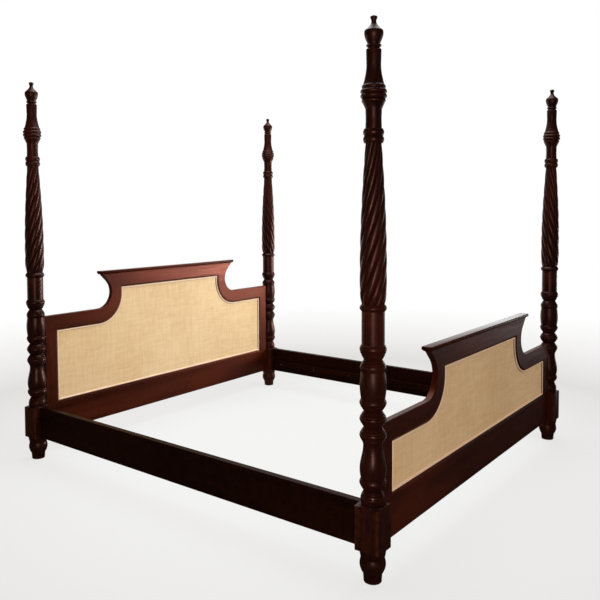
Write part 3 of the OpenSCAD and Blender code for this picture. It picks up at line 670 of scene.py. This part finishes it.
for board in boards:
    face, grown = BOARD_T / 2, SLOPE_W * (1 + PLUG_PROUD / SLOPE_D)
    plug = bridged(board, board.name + "_plug", [(grown, -face - PLUG_PROUD), (0, -face + SLOPE_D),
                                                 (0, face - SLOPE_D), (grown, face + PLUG_PROUD)])
    inner_x = PANEL_HALF - SPARE
    bottom = both_sides([(HALF_SPAN, FOOT_H), (HALF_SPAN, PANEL_Z), (inner_x, PANEL_Z),
                         (inner_x, PANEL_Z + SPARE)])
    stile = [(inner_x, PANEL_Z), (HALF_SPAN, PANEL_Z), (HALF_SPAN, board.low), (inner_x, board.low)]
    scroll = [(HALF_SPAN, board.low + SHOULDER_H)] \
        + arc(SCROLL_X, board.scroll_z, SCROLL_R, 270, board.seam_angle)
    inside = arc(PANEL_NECK + PANEL_CURVE, board.low + PANEL_CURVE, PANEL_CURVE + SPARE, 180, CORNER_ANGLE)
    shoulder = [(HALF_SPAN, board.low)] + scroll + [(PANEL_NECK - SPARE, board.top)] + inside \
        + [(PANEL_HALF, board.low - SPARE), (PANEL_HALF, board.low)]
    horn = arc(SCROLL_X, board.scroll_z, SCROLL_R, board.seam_angle, HORN_ANGLE, ARC_STEPS // 2) \
        + [(board.tip_x, board.crest)]
    crest = both_sides([(PANEL_NECK, board.top - SPARE), (PANEL_NECK, board.top)] + horn)
    sawn = {"bottom_rail": (bottom, bottom[:1] + bottom[-1:])}
    for hand, sign in HANDS.items():
        sawn["stile_" + hand] = flipped(stile, sign), []
        sawn["shoulder_" + hand] = flipped(shoulder, sign), flipped(scroll, sign)
    sawn["crest_rail"] = crest, both_sides(horn)
    for part, (points, eased) in sawn.items():
        piece = plank(f"{board.name}_{part}_sawn", points, board.y, BOARD_T, eased)
        cut_with(piece, plug)
        put(smooth(piece, FLAT_ANGLE), f"{board.name}_{part}")
    discard(plug)

# %% [markdown]
# ## The caps
# A flat cap lies on each crest rail, with a round nose over a small hollow along its edges and ends sawn
# square. Its section is extruded along its length, and the sharp end edges are then eased.

# %% Cap section, extruded along x
CAP_LIP = 0.003
CAP_HOLLOW = 0.007
NOSE_DEPTH = 0.004
NOSE_ANGLES = range(-90, 91, 12)
CAP_ARRIS = 0.0012
CAP_ANGLE = 30

for board in boards:
    low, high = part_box(board.name + "_cap")
    edge_y, thick = (high.y - low.y) / 2, high.z - low.z
    nose_r = (thick - CAP_LIP) / 2
    nose = [(edge_y - NOSE_DEPTH + NOSE_DEPTH * cos(radians(a)), thick - nose_r + nose_r * sin(radians(a)))
            for a in NOSE_ANGLES]
    section = both_sides([(BOARD_T / 2 + CAP_LIP, 0), (edge_y - CAP_HOLLOW, CAP_LIP)] + nose)
    cap = extruded(board.name + "_cap_moulded", [(low.x, board.y + y, low.z + z) for y, z in section],
                   (high.x - low.x, 0, 0))
    bevel_edges(cap, lambda a, b: abs(a.x - b.x) < SAME and max(a.z, b.z) > low.z + CAP_LIP / 2, CAP_ARRIS, 2)
    put(smooth(close(cap), CAP_ANGLE), board.name + "_cap")

# %% [markdown]
# ## Weave and bead
# Fine woven grass is stretched over a thin backing board and held down all round by a split reed bead. The
# sheet is a thin plank of the opening's shape. The bead is bridged from loops of the opening across its
# half-round section, so that it turns every corner in a clean mitre.

# %% Woven sheets and reed beads on both faces
WEAVE_IN = 0.0025
WEAVE_OUT = 0.0037
BEAD_W = 0.011
BEAD_TOP = 0.0107
BEAD_CUTS = 8
BEAD_ANGLE = 40
AIR = 0.0001

for board in boards:
    for side, way in (("inner", -board.way), ("outer", board.way)):
        name = f"{board.name}_weave_{side}"
        sheet = plank(name + "_grass", opening(board, -AIR), board.y + way * (WEAVE_IN + WEAVE_OUT) / 2,
                      WEAVE_OUT - WEAVE_IN)
        put(sheet, name, "woven_grass")
        angles = [pi * i / BEAD_CUTS for i in range(BEAD_CUTS + 1)]
        section = [(-BEAD_W / 2 - AIR / 2 - (BEAD_W - AIR) / 2 * cos(a),
                    way * (WEAVE_OUT + (BEAD_TOP - WEAVE_OUT) * sin(a))) for a in angles]
        name = f"{board.name}_bead_{side}"
        reed = bridged(board, name + "_reed", section, capped=False)
        put(smooth(reed, BEAD_ANGLE), name, "reed")

# %% [markdown]
# ## Side rails and cleats
# The side rails are planed planks, 32 mm thick and 171 mm high, that hook into the posts. Cleats on their
# inner faces carry the mattress base and share the rails' mahogany, whose darker tones are painted shade.
# Both are cubes at their size and place with eased long arrises, and the rails get the seats of the steel
# hook plates let into their ends.

# %% Planed planks with let-in plates
RAIL_ARRIS = 0.0025
CLEAT_ARRIS = 0.0015
PLATE_SEAT = Vector((0.0111, 0.003, 0.0651))


def planed(node, arris):
    """A plank along y that fills its node's box, with its four long arrises eased."""
    piece = new_block(node + "_planed", *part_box(node))
    bevel_edges(piece, lambda a, b: abs(a.y - b.y) > 0.5, arris)
    return close(piece)


for hand, sign in HANDS.items():
    rail = planed("side_rail_" + hand, RAIL_ARRIS)
    low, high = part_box("side_rail_" + hand)
    for end in (-1, 1):
        middle = Vector((sign * POST_X, end * high.y, (low.z + high.z) / 2))
        seat = close(new_block("seat", middle - PLATE_SEAT, middle + PLATE_SEAT))
        cut_with(rail, seat)
        discard(seat)
    cleat = planed("cleat_" + hand, CLEAT_ARRIS)
    for piece in (rail, cleat):
        put(smooth(piece, FLAT_ANGLE), piece.name.removesuffix("_planed"))

# %% [markdown]
# ## Node groups for the finishes
# Several finishes share an effect, so each effect is a node group with named inputs and outputs, placed in
# each material with its own values. A recipe is a node tree with a short word for each kind of step. Grain
# is stretched noise: broad ribbons, fine figure and short dark pores. Glaze darkens the hollows of a
# turning, where the finisher's rag does not reach, and leaves the crests redder.

# %% Recipes, shared effects and finishes
class Recipe:
    """A node tree, with a short word for each kind of step."""

    def __init__(self, tree):
        self.tree = tree

    def fill(self, node, sockets):
        """Fills sockets of a node, by name or number, with a link or with a value of their own."""
        for name, value in sockets.items():
            socket = node.inputs[name]
            if isinstance(value, bpy.types.NodeSocket):
                self.tree.links.new(value, socket)
            else:
                socket.default_value = (*value, 1) if socket.type == "RGBA" else value

    def add(self, kind, sockets, **settings):
        """Adds a node, sets it and fills its sockets, and gives back its outputs."""
        node = self.tree.nodes.new("ShaderNode" + kind)
        for name, value in settings.items():
            setattr(node, name, value)
        self.fill(node, sockets)
        return node.outputs

    def math(self, operation, a, b=0.0, clamp=False):
        return self.add("Math", {0: a, 1: b}, operation=operation, use_clamp=clamp)[0]

    def plus(self, a, b, clamp=False):
        return self.math("ADD", a, b, clamp)

    def minus(self, a, b, clamp=False):
        return self.math("SUBTRACT", a, b, clamp)

    def times(self, a, b, clamp=False):
        return self.math("MULTIPLY", a, b, clamp)

    def blend(self, share, one, other):
        """A mix of two colours by a share from 0 to 1."""
        return self.add("Mix", {0: share, 6: one, 7: other}, data_type="RGBA")[2]

    def stretch(self, place, scale, turn=(0, 0, 0)):
        """A place that is turned and stretched before a texture reads it."""
        return self.add("Mapping", {"Vector": place, "Rotation": turn, "Scale": scale})[0]

    def noise(self, place, scale, detail=3.0, rough=0.5):
        """A grey noise between 0 and 1, with its own scale along each axis."""
        sockets = {"Vector": self.stretch(place, scale), "Scale": 1, "Detail": detail, "Roughness": rough}
        return self.add("TexNoise", sockets)["Fac"]

    def between(self, value, low, high):
        """0 below a low value, 1 above a high one, and even steps between them."""
        return self.add("MapRange", {0: value, 1: low, 2: high})[0]

    def parts(self, vector):
        """The X, Y and Z of a place or direction."""
        return self.add("SeparateXYZ", {0: vector})


class Effect(Recipe):
    """A node group, with the kind of each thing that it is given and puts out."""

    def __init__(self, name, given, results):
        super().__init__(bpy.data.node_groups.new(name, "ShaderNodeTree"))
        for way, sockets in (("INPUT", given), ("OUTPUT", results)):
            for title, kind in sockets.items():
                self.tree.interface.new_socket(title, in_out=way, socket_type="NodeSocket" + kind)
        self.given = self.tree.nodes.new("NodeGroupInput").outputs
        self.results = self.tree.nodes.new("NodeGroupOutput")


class Finish(Recipe):
    """A material, with its shader and the object's own coordinates."""

    def __init__(self, name):
        self.material = bpy.data.materials.new(name)
        self.material.use_nodes = True
        super().__init__(self.material.node_tree)
        self.shader = self.tree.nodes["Principled BSDF"]
        self.place = self.add("TexCoord", {})["Object"]

    def lay(self, sockets, height, strength, distance):
        """Fills the shader, raises the surface by a height before it is lit, and gives back the material."""
        bump = self.add("Bump", {"Height": height, "Strength": strength, "Distance": distance})[0]
        self.fill(self.shader, {**sockets, "Normal": bump})
        return self.material


# %% Grain of the wood
grain = Effect("grain along z", {"Place": "Vector", "Dark": "Color", "Middle": "Color", "Light": "Color",
                                 "Pores": "Float"}, {"Color": "Color", "Height": "Float", "Sheen": "Float"})
place = grain.given["Place"]
wander = grain.noise(place, (5, 5, 1.1), 2)
ribbon = grain.noise(place, (34, 34, 1.6), 4, 0.6)
figure = grain.noise(place, (190, 190, 6), 3, 0.55)
pores = grain.between(grain.noise(place, (1500, 1500, 55), 2), 0.60, 0.72)
ribbons = grain.between(grain.plus(grain.times(ribbon, 0.6), grain.times(figure, 0.4)), 0.36, 0.64)
broad = grain.between(wander, 0.35, 0.68)
lower = grain.blend(ribbons, grain.given["Dark"], grain.given["Middle"])
upper = grain.blend(broad, lower, grain.given["Light"])
plain = grain.blend(grain.times(broad, 0.55), lower, upper)
pored = grain.blend(grain.times(pores, grain.given["Pores"]), plain, grain.given["Dark"])
relief = grain.minus(grain.times(figure, 0.35), grain.times(pores, 0.65))
grain.fill(grain.results, {"Color": pored, "Height": relief, "Sheen": ribbons})

# %% Glaze in the hollows and rubbed edges
glaze = Effect("glaze and rubbed edges", {"Color": "Color", "Glaze": "Color", "Rubbed": "Color",
                                          "Amount": "Float"}, {"Color": "Color", "Hollow": "Float"})
pointed = glaze.add("NewGeometry", {})["Pointiness"]
blotch = glaze.noise(glaze.add("TexCoord", {})["Object"], (38, 38, 38))
hollow = glaze.minus(1.0, glaze.between(pointed, 0.42, 0.497))
edge = glaze.times(glaze.between(pointed, 0.506, 0.56), glaze.between(blotch, 0.3, 0.65))
amount = glaze.given["Amount"]
glazed = glaze.blend(glaze.times(hollow, amount), glaze.given["Color"], glaze.given["Glaze"])
rubbed = glaze.blend(glaze.times(edge, glaze.times(amount, 0.5)), glazed, glaze.given["Rubbed"])
glaze.fill(glaze.results, {"Color": rubbed, "Hollow": hollow})

# %% [markdown]
# ## Mahogany under a satin lacquer
# Mahogany is stained a deep red-brown and gets a thin satin lacquer, which gives the soft highlights along
# every ring. A plain lacquer would mirror the white room and veil the dark wood. So its sheen takes a red
# tint from the stain, and only the flat caps are polished enough to show the bright side of the room. The
# grain runs along each piece, so the recipe is made for pieces along x, along y and along z.

# %% Mahogany in three directions
TURN_TO_Z = {"z": (0, 0, 0), "x": (0, pi / 2, 0), "y": (pi / 2, 0, 0)}
FLAT_NORMAL = (0.93, 0.99)

# The side rails and cleats are the same mahogany with far darker tones, as painted shade.
RAIL_SHADED_TONES = (0.0036, 0.0014, 0.0006), (0.0068, 0.0023, 0.0009), (0.0150, 0.0044, 0.0015)
POST_TONES = (0.0060, 0.0011, 0.0004), (0.0215, 0.0032, 0.0008), (0.0520, 0.0080, 0.0020)
BOARD_TONES = (0.0065, 0.0014, 0.0006), (0.0280, 0.0048, 0.0015), (0.0860, 0.0150, 0.0045)
GLAZE = (0.003, 0.001, 0.0006)
RUBBED = (0.11, 0.024, 0.010)
POST_SHEEN = (1.0, 0.54, 0.50)
BOARD_SHEEN = (1.0, 0.16, 0.06)


def grained(finish, along, tones, pores):
    """Lays the grain along an axis, in a dark, a middle and a light tone."""
    sockets = dict(zip(("Dark", "Middle", "Light"), tones), Pores=pores)
    sockets["Place"] = finish.stretch(finish.place, (1, 1, 1), TURN_TO_Z[along])
    return finish.add("Group", sockets, node_tree=grain.tree)


def mahogany(name, along, tones, glazing, gloss, rough, tint=BOARD_SHEEN, polish=0.0):
    """Stained and lacquered mahogany with its grain along an axis, and a share of clear polish on its top."""
    finish = Finish(name)
    wood = grained(finish, along, tones, 0.5)
    stained = finish.add("Group", {"Color": wood["Color"], "Glaze": GLAZE, "Rubbed": RUBBED,
                                   "Amount": glazing}, node_tree=glaze.tree)
    varied = finish.plus(rough, finish.times(wood["Sheen"], 0.18))
    dulled = finish.plus(varied, finish.times(stained["Hollow"], 0.15), clamp=True)
    sockets = {"Base Color": stained["Color"], "Roughness": dulled, "Specular IOR Level": gloss,
               "Specular Tint": tint}
    if polish:
        upward = finish.parts(finish.add("NewGeometry", {})["Normal"])["Z"]
        sockets["Coat Weight"] = finish.times(finish.between(upward, *FLAT_NORMAL), polish)
        sockets["Coat Roughness"] = 0.05
        sockets["Coat IOR"] = 1.7
    return finish.lay(sockets, wood["Height"], 0.25 - 0.2 * polish, 0.0006)


post_wood = mahogany("mahogany_of_the_posts", "z", POST_TONES, glazing=0.75, gloss=0.42, rough=0.27,
                     tint=POST_SHEEN)
board_wood = {along: mahogany("mahogany_along_" + along, along, BOARD_TONES, glazing=0.35, gloss=0.60,
                              rough=0.32) for along in "xz"}
cap_wood = mahogany("mahogany_of_the_caps", "x", BOARD_TONES, glazing=0.35, gloss=0.3, rough=0.40, polish=1.0)
shaded_rail_wood = mahogany("mahogany_of_the_side_rails", "y", RAIL_SHADED_TONES, glazing=0.1, gloss=0.15, rough=0.42)

# %% [markdown]
# ## Woven grass
# The panel is a plain weave of flat grass strands, three millimetres wide. Each strand has its own tone,
# the strands of one bundle are alike, and whole areas are a little browner. Warp and weft are two sets of
# round waves, and where they cross, a checkerboard decides which one lies on top.

# %% Weave recipe
weave = Effect("plain weave in xz", {"Place": "Vector", "Strand": "Float", "Pale": "Color", "Tan": "Color",
                                     "Gap": "Color"}, {"Color": "Color", "Height": "Float", "Gap": "Float"})
spot = weave.parts(weave.given["Place"])
across = weave.math("DIVIDE", spot["X"], weave.given["Strand"])
up = weave.math("DIVIDE", spot["Z"], weave.given["Strand"])


def strands(count):
    """Number of a strand, and its round height from 0 at its edges to 1 in its middle."""
    inside = weave.minus(weave.math("FRACT", count), 0.5)
    fallen = weave.times(weave.times(inside, inside), 3.9)
    return weave.math("FLOOR", count), weave.math("SQRT", weave.minus(1.0, fallen, clamp=True))


def raised(height, on_top):
    """Full height where a strand lies on top, and about half of it where it dips under."""
    return weave.times(height, weave.plus(0.55, weave.times(on_top, 0.45)))


def strand_tone(number, along, seed):
    """A tone of its own for each strand, which drifts along it, and bands of strands from one bundle."""
    key = weave.add("CombineXYZ", {0: number, 1: weave.times(along, 0.045), 2: seed})[0]
    own = weave.between(weave.noise(key, (0.83, 0.83, 0.83), 2), 0.34, 0.68)
    band = weave.between(weave.noise(key, (0.16, 0.5, 1), 1), 0.34, 0.66)
    return weave.plus(weave.times(own, 0.6), weave.times(band, 0.4))


warp, warp_round = strands(across)
weft, weft_round = strands(up)
over = weave.math("GREATER_THAN", weave.math("FLOORED_MODULO", weave.plus(warp, weft), 2.0), 0.5)
under = weave.minus(1.0, over)
cloth_height = weave.math("MAXIMUM", raised(warp_round, over), raised(weft_round, under))
tone = weave.add("Mix", {0: over, 2: strand_tone(weft, across, 17.4), 3: strand_tone(warp, up, 3.1)},
                 data_type="FLOAT")[0]
patches = weave.between(weave.noise(weave.given["Place"], (2.6, 2.6, 1.7)), 0.3, 0.7)
browning = weave.plus(weave.times(tone, 0.60), weave.times(patches, 0.24))
# Painted shade: the low edges of the strands and the gaps between them are darkened towards a dark brown.
gap_shade = weave.minus(1.0, weave.between(cloth_height, 0.20, 0.62))
browned = weave.blend(browning, weave.given["Pale"], weave.given["Tan"])
cloth_colour = weave.blend(weave.times(gap_shade, 0.7), browned, weave.given["Gap"])
weave.fill(weave.results, {"Color": cloth_colour, "Height": cloth_height, "Gap": gap_shade})

# %% Woven sheet material
STRAND = 0.0030

matt = Finish("woven_grass")
cloth = matt.add("Group", {"Place": matt.place, "Strand": STRAND, "Pale": (0.94, 0.79, 0.53),
                           "Tan": (0.66, 0.44, 0.20), "Gap": (0.34, 0.20, 0.09)}, node_tree=weave.tree)
grass = matt.lay({"Base Color": cloth["Color"], "Roughness": matt.plus(0.62, matt.times(cloth["Gap"], 0.25)),
                  "Specular IOR Level": 0.25, "Sheen Weight": 0.15, "Sheen Roughness": 0.5},
                 cloth["Height"], 0.55, 0.0005)

# %% [markdown]
# ## Split reed, bare woods and metals
# The bead is split reed: pale and a little glossy, with faint fibres and darker flecks. Next to the sheet,
# its flanks that face inward or down are painted darker, as painted shade where the bead's shadow falls. The
# dowels are bare poplar, the backing boards plywood, the plates zinc-plated steel and the sockets turned
# brass.

# %% Reed, poplar, plywood, steel and brass
QUIRK = (WEAVE_OUT + 0.0035, WEAVE_OUT + 0.0069)
REED_PALE = (1.0, 0.83, 0.68)
REED_DARKER = (0.97, 0.78, 0.61)
REED_FLECK = (0.50, 0.28, 0.14)
REED_PAINTED_SHADE = (0.10, 0.04, 0.015)


def split_reed(name):
    """Natural split reed with fibres and flecks, and painted shade by the sheet on its flanks that face
    inward or down.
    """
    reed = Finish(name)
    fibres = reed.noise(reed.place, (420, 420, 420), 2)
    mottle = reed.noise(reed.place, (16, 16, 16))
    mottled = reed.blend(reed.between(mottle, 0.3, 0.7), REED_PALE, REED_DARKER)
    flecked = reed.blend(reed.times(reed.between(fibres, 0.58, 0.72), 0.35), mottled, REED_FLECK)
    spot = reed.parts(reed.place)
    facing = reed.parts(reed.add("NewGeometry", {})["Normal"])
    # Painted shade: next to the sheet, the flanks that face inward or down are darkened where the bead's
    # shadow falls.
    from_panel = reed.math("ABSOLUTE", reed.minus(reed.math("ABSOLUTE", spot["Y"]), POST_Y))
    quirk = reed.minus(1.0, reed.between(from_panel, *QUIRK))
    outward = reed.times(reed.math("SIGN", spot["X"]), facing["X"])
    shaded_flank = reed.times(reed.math("MINIMUM", outward, facing["Z"]), -1.0, clamp=True)
    painted_shade = reed.times(quirk, reed.plus(shaded_flank, 0.03, clamp=True))
    return reed.lay({"Base Color": reed.blend(painted_shade, flecked, REED_PAINTED_SHADE), "Specular IOR Level": 0.4,
                     "Roughness": reed.plus(0.36, reed.times(fibres, 0.18))}, fibres, 0.2, 0.0003)


def bare_wood(name, *tones):
    """Sanded wood without lacquer, with its grain along x."""
    bare = Finish(name)
    wood = grained(bare, "x", tones, 0.25)
    rough = bare.plus(0.62, bare.times(wood["Sheen"], 0.08))
    return bare.lay({"Base Color": wood["Color"], "Roughness": rough}, wood["Height"], 0.3, 0.0004)


def metal(name, colour, rough):
    """Plated or turned metal with fine scratches and dull spots."""
    plate = Finish(name)
    scratches = plate.noise(plate.place, (900, 900, 60), 2)
    spots = plate.between(plate.noise(plate.place, (70, 70, 70)), 0.5, 0.75)
    dull = plate.blend(plate.times(spots, 0.5), colour, tuple(part * 0.45 for part in colour))
    return plate.lay({"Base Color": dull, "Metallic": 1.0,
                      "Roughness": plate.plus(rough, plate.times(scratches, 0.2))}, scratches, 0.15, 0.0002)


reed_finish = split_reed("split_reed")
poplar = bare_wood("bare_poplar", (0.36, 0.27, 0.15), (0.52, 0.41, 0.25), (0.62, 0.52, 0.34))
plywood = bare_wood("bare_plywood", (0.42, 0.28, 0.15), (0.56, 0.40, 0.24), (0.66, 0.50, 0.32))
steel = metal("zinc_plated_steel", (0.58, 0.59, 0.61), 0.28)
brass = metal("turned_brass", (0.72, 0.50, 0.20), 0.24)

# %% [markdown]
# ## Every piece gets its finish
# The new pieces and the nodes that are kept as they are take their materials here.

# %% Hand out the finishes
CARRIED = {"finial_pins": steel, "post_rods": steel, "post_sockets": brass, "cleat_screws": steel,
           "rail_hook_plates": steel, "post_slot_plates": steel, "plate_screws": steel,
           "board_dowels": poplar, "head_panel_core": plywood, "foot_panel_core": plywood}


def wear(piece, material):
    """Gives a piece one material."""
    piece.data.materials.clear()
    piece.data.materials.append(material)


for piece in made["mahogany"]:
    if piece.name.startswith(("post", "finial")):
        wear(piece, post_wood)
    elif piece.name.startswith(("side_rail", "cleat")):
        wear(piece, shaded_rail_wood)
    elif "_cap_" in piece.name:
        wear(piece, cap_wood)
    else:
        wear(piece, board_wood["z" if "stile" in piece.name else "x"])
for slot, material in (("woven_grass", grass), ("reed", reed_finish)):
    for piece in made[slot]:
        wear(piece, material)
for name, material in CARRIED.items():
    wear(nodes[name], material)
print("finished:", sum(map(len, made.values())) + len(CARRIED), "pieces")

# %% [markdown]
# ## Floor and light
# The bed stands on a plain pale floor that runs on into a white room. The main light is a warm soft panel
# beside the bed, low enough to shine across the headboard, and leaves the footboard's outer face in shade.
# A broad one hangs overhead, and a narrow upright one in front draws the thin highlights down each post.
# Mirrored rays meet a dim room, which keeps the dark wood dark, except behind the bed, where they see it
# white. The floor is painted a little darker in a ring round the bed, as painted shade, while under the bed
# the white covers most of the floor's real shadow.

# %% Floor that fades into the white room
BACKDROP_SIDE = (0.794, 0.608, 0.0)
BACKDROP_FROM, BACKDROP_SKY = (1.0, 3.0), (0.7, 0.95)
FLOOR_SIDE = 160
FLOOR_COLOUR = (0.485, 0.53, 0.57)
FLOOR_NEAR = 0.42
FLOOR_REACH = 1.9
FLOOR_END = 0.32
FLOOR_UNDER_BED = 0.45
FLOOR_SHADE_RING = (0.8, 2.6)
ROOM_WHITE = 1.0
ROOM_SHADE = 0.025


def towards_backdrop(recipe, place, low, high):
    """Goes from 0 to 1 as a place or direction moves over to the backdrop's side."""
    dot = recipe.add("VectorMath", {0: place, 1: BACKDROP_SIDE}, operation="DOT_PRODUCT")["Value"]
    return recipe.between(dot, low, high)


def seen(recipe, mirrored):
    """1 for camera and transmission rays, a share for glossy rays, and 0 for the rays that carry light."""
    rays = recipe.add("LightPath", {})
    shown = recipe.math("MAXIMUM", rays["Is Camera Ray"], rays["Is Transmission Ray"])
    return recipe.math("MAXIMUM", shown, recipe.times(rays["Is Glossy Ray"], mirrored))


def lit(recipe, kind, strength):
    """A white shader of a plain strength, as the eye or a mirror sees it."""
    return recipe.add(kind, {"Color": (1, 1, 1), "Strength": strength})[0]


floor = close(begin("floor", bpy.ops.mesh.primitive_plane_add, size=FLOOR_SIDE))
pale = Finish("pale_floor")
wear(floor, pale.material)
pale.fill(pale.shader, {"Base Color": FLOOR_COLOUR, "Roughness": 0.9, "Specular IOR Level": 0.1})
distance = pale.add("VectorMath", {0: pale.place}, operation="LENGTH")["Value"]
left = pale.minus(pale.math("DIVIDE", FLOOR_REACH, distance), FLOOR_END, clamp=True)
# Painted shade: in a ring round the bed more of the darker lit floor shows through the white, under the bed
# less.
outside = pale.times(pale.between(distance, *FLOOR_SHADE_RING), 1 - FLOOR_UNDER_BED)
near_bed = pale.times(pale.math("MINIMUM", left, FLOOR_NEAR), pale.plus(outside, FLOOR_UNDER_BED))
fade = pale.times(pale.minus(1.0, near_bed), seen(pale, 1.0))
lit_floor = pale.shader.outputs[0]
white_floor = pale.add("MixShader", {0: fade, 1: lit_floor, 2: lit(pale, "Emission", ROOM_WHITE)})
beside = pale.minus(1.0, towards_backdrop(pale, pale.place, *BACKDROP_FROM))
mirrored = pale.times(beside, pale.add("LightPath", {})["Is Glossy Ray"])
dimmed_floor = pale.add("MixShader", {0: mirrored, 1: white_floor[0], 2: lit(pale, "Emission", ROOM_SHADE)})
pale.fill(pale.tree.nodes["Material Output"], {"Surface": dimmed_floor[0]})

# %% Room and lights
ROOM_GLOW = (1.0, 0.71, 0.47)
ROOM_STRENGTH = 0.53

world = bpy.data.worlds.new("studio")
bpy.context.scene.world = world
world.use_nodes = True
room = Recipe(world.node_tree)
soft = room.tree.nodes["Background"]
room.fill(soft, {"Color": ROOM_GLOW, "Strength": ROOM_STRENGTH})
ahead = towards_backdrop(room, room.add("TexCoord", {})["Generated"], *BACKDROP_SKY)
dimmed = room.add("MixShader", {0: room.add("LightPath", {})["Is Glossy Ray"], 1: soft.outputs[0],
                                2: lit(room, "Background", ROOM_SHADE)})
shown = room.add("MixShader", {0: seen(room, ahead), 1: dimmed[0], 2: lit(room, "Background", ROOM_WHITE)})
room.fill(room.tree.nodes["World Output"], {"Surface": shown[0]})


def soft_light(name, place, aim, size, power, colour, spread=180):
    """A rectangular soft light, size wide and high, at a place and turned towards a point."""
    bpy.ops.object.light_add(type="AREA", location=place)
    lamp = bpy.context.object
    lamp.name = name
    lamp.data.shape = "RECTANGLE"
    lamp.data.size, lamp.data.size_y = size
    lamp.data.energy = power
    lamp.data.color = colour
    lamp.data.spread = radians(spread)
    lamp.rotation_euler = (Vector(aim) - Vector(place)).to_track_quat("-Z", "Y").to_euler()
    lamp.visible_camera = False


soft_light("warm_light", place=(2.8, -0.95, 0.95), aim=(-0.1, 1.1, 1.1), size=(0.8, 0.7), power=14,
           colour=(1.0, 0.91, 0.80), spread=80)
soft_light("overhead_light", place=(0.3, 0.1, 4.2), aim=(0, 0.2, 0.4), size=(3.4, 3.4), power=120,
           colour=(0.90, 0.98, 1.0))
soft_light("front_light", place=(-4.4, -3.1, 1.2), aim=(-1.0, -1.0, 1.0), size=(0.6, 1.2), power=50,
           colour=(1.0, 0.86, 0.80))

# %% [markdown]
# ## The cloth's own size
# The size of each woven sheet is worked out: a rectangle as wide and as high as the panel. On the bed the
# scroll takes away its two upper corners, and it is stretched flat over its backing board.

for piece in made["woven_grass"]:
    board = boards[0] if piece.name.startswith("head") else boards[1]
    width, height = 2 * PANEL_HALF, board.top - PANEL_Z
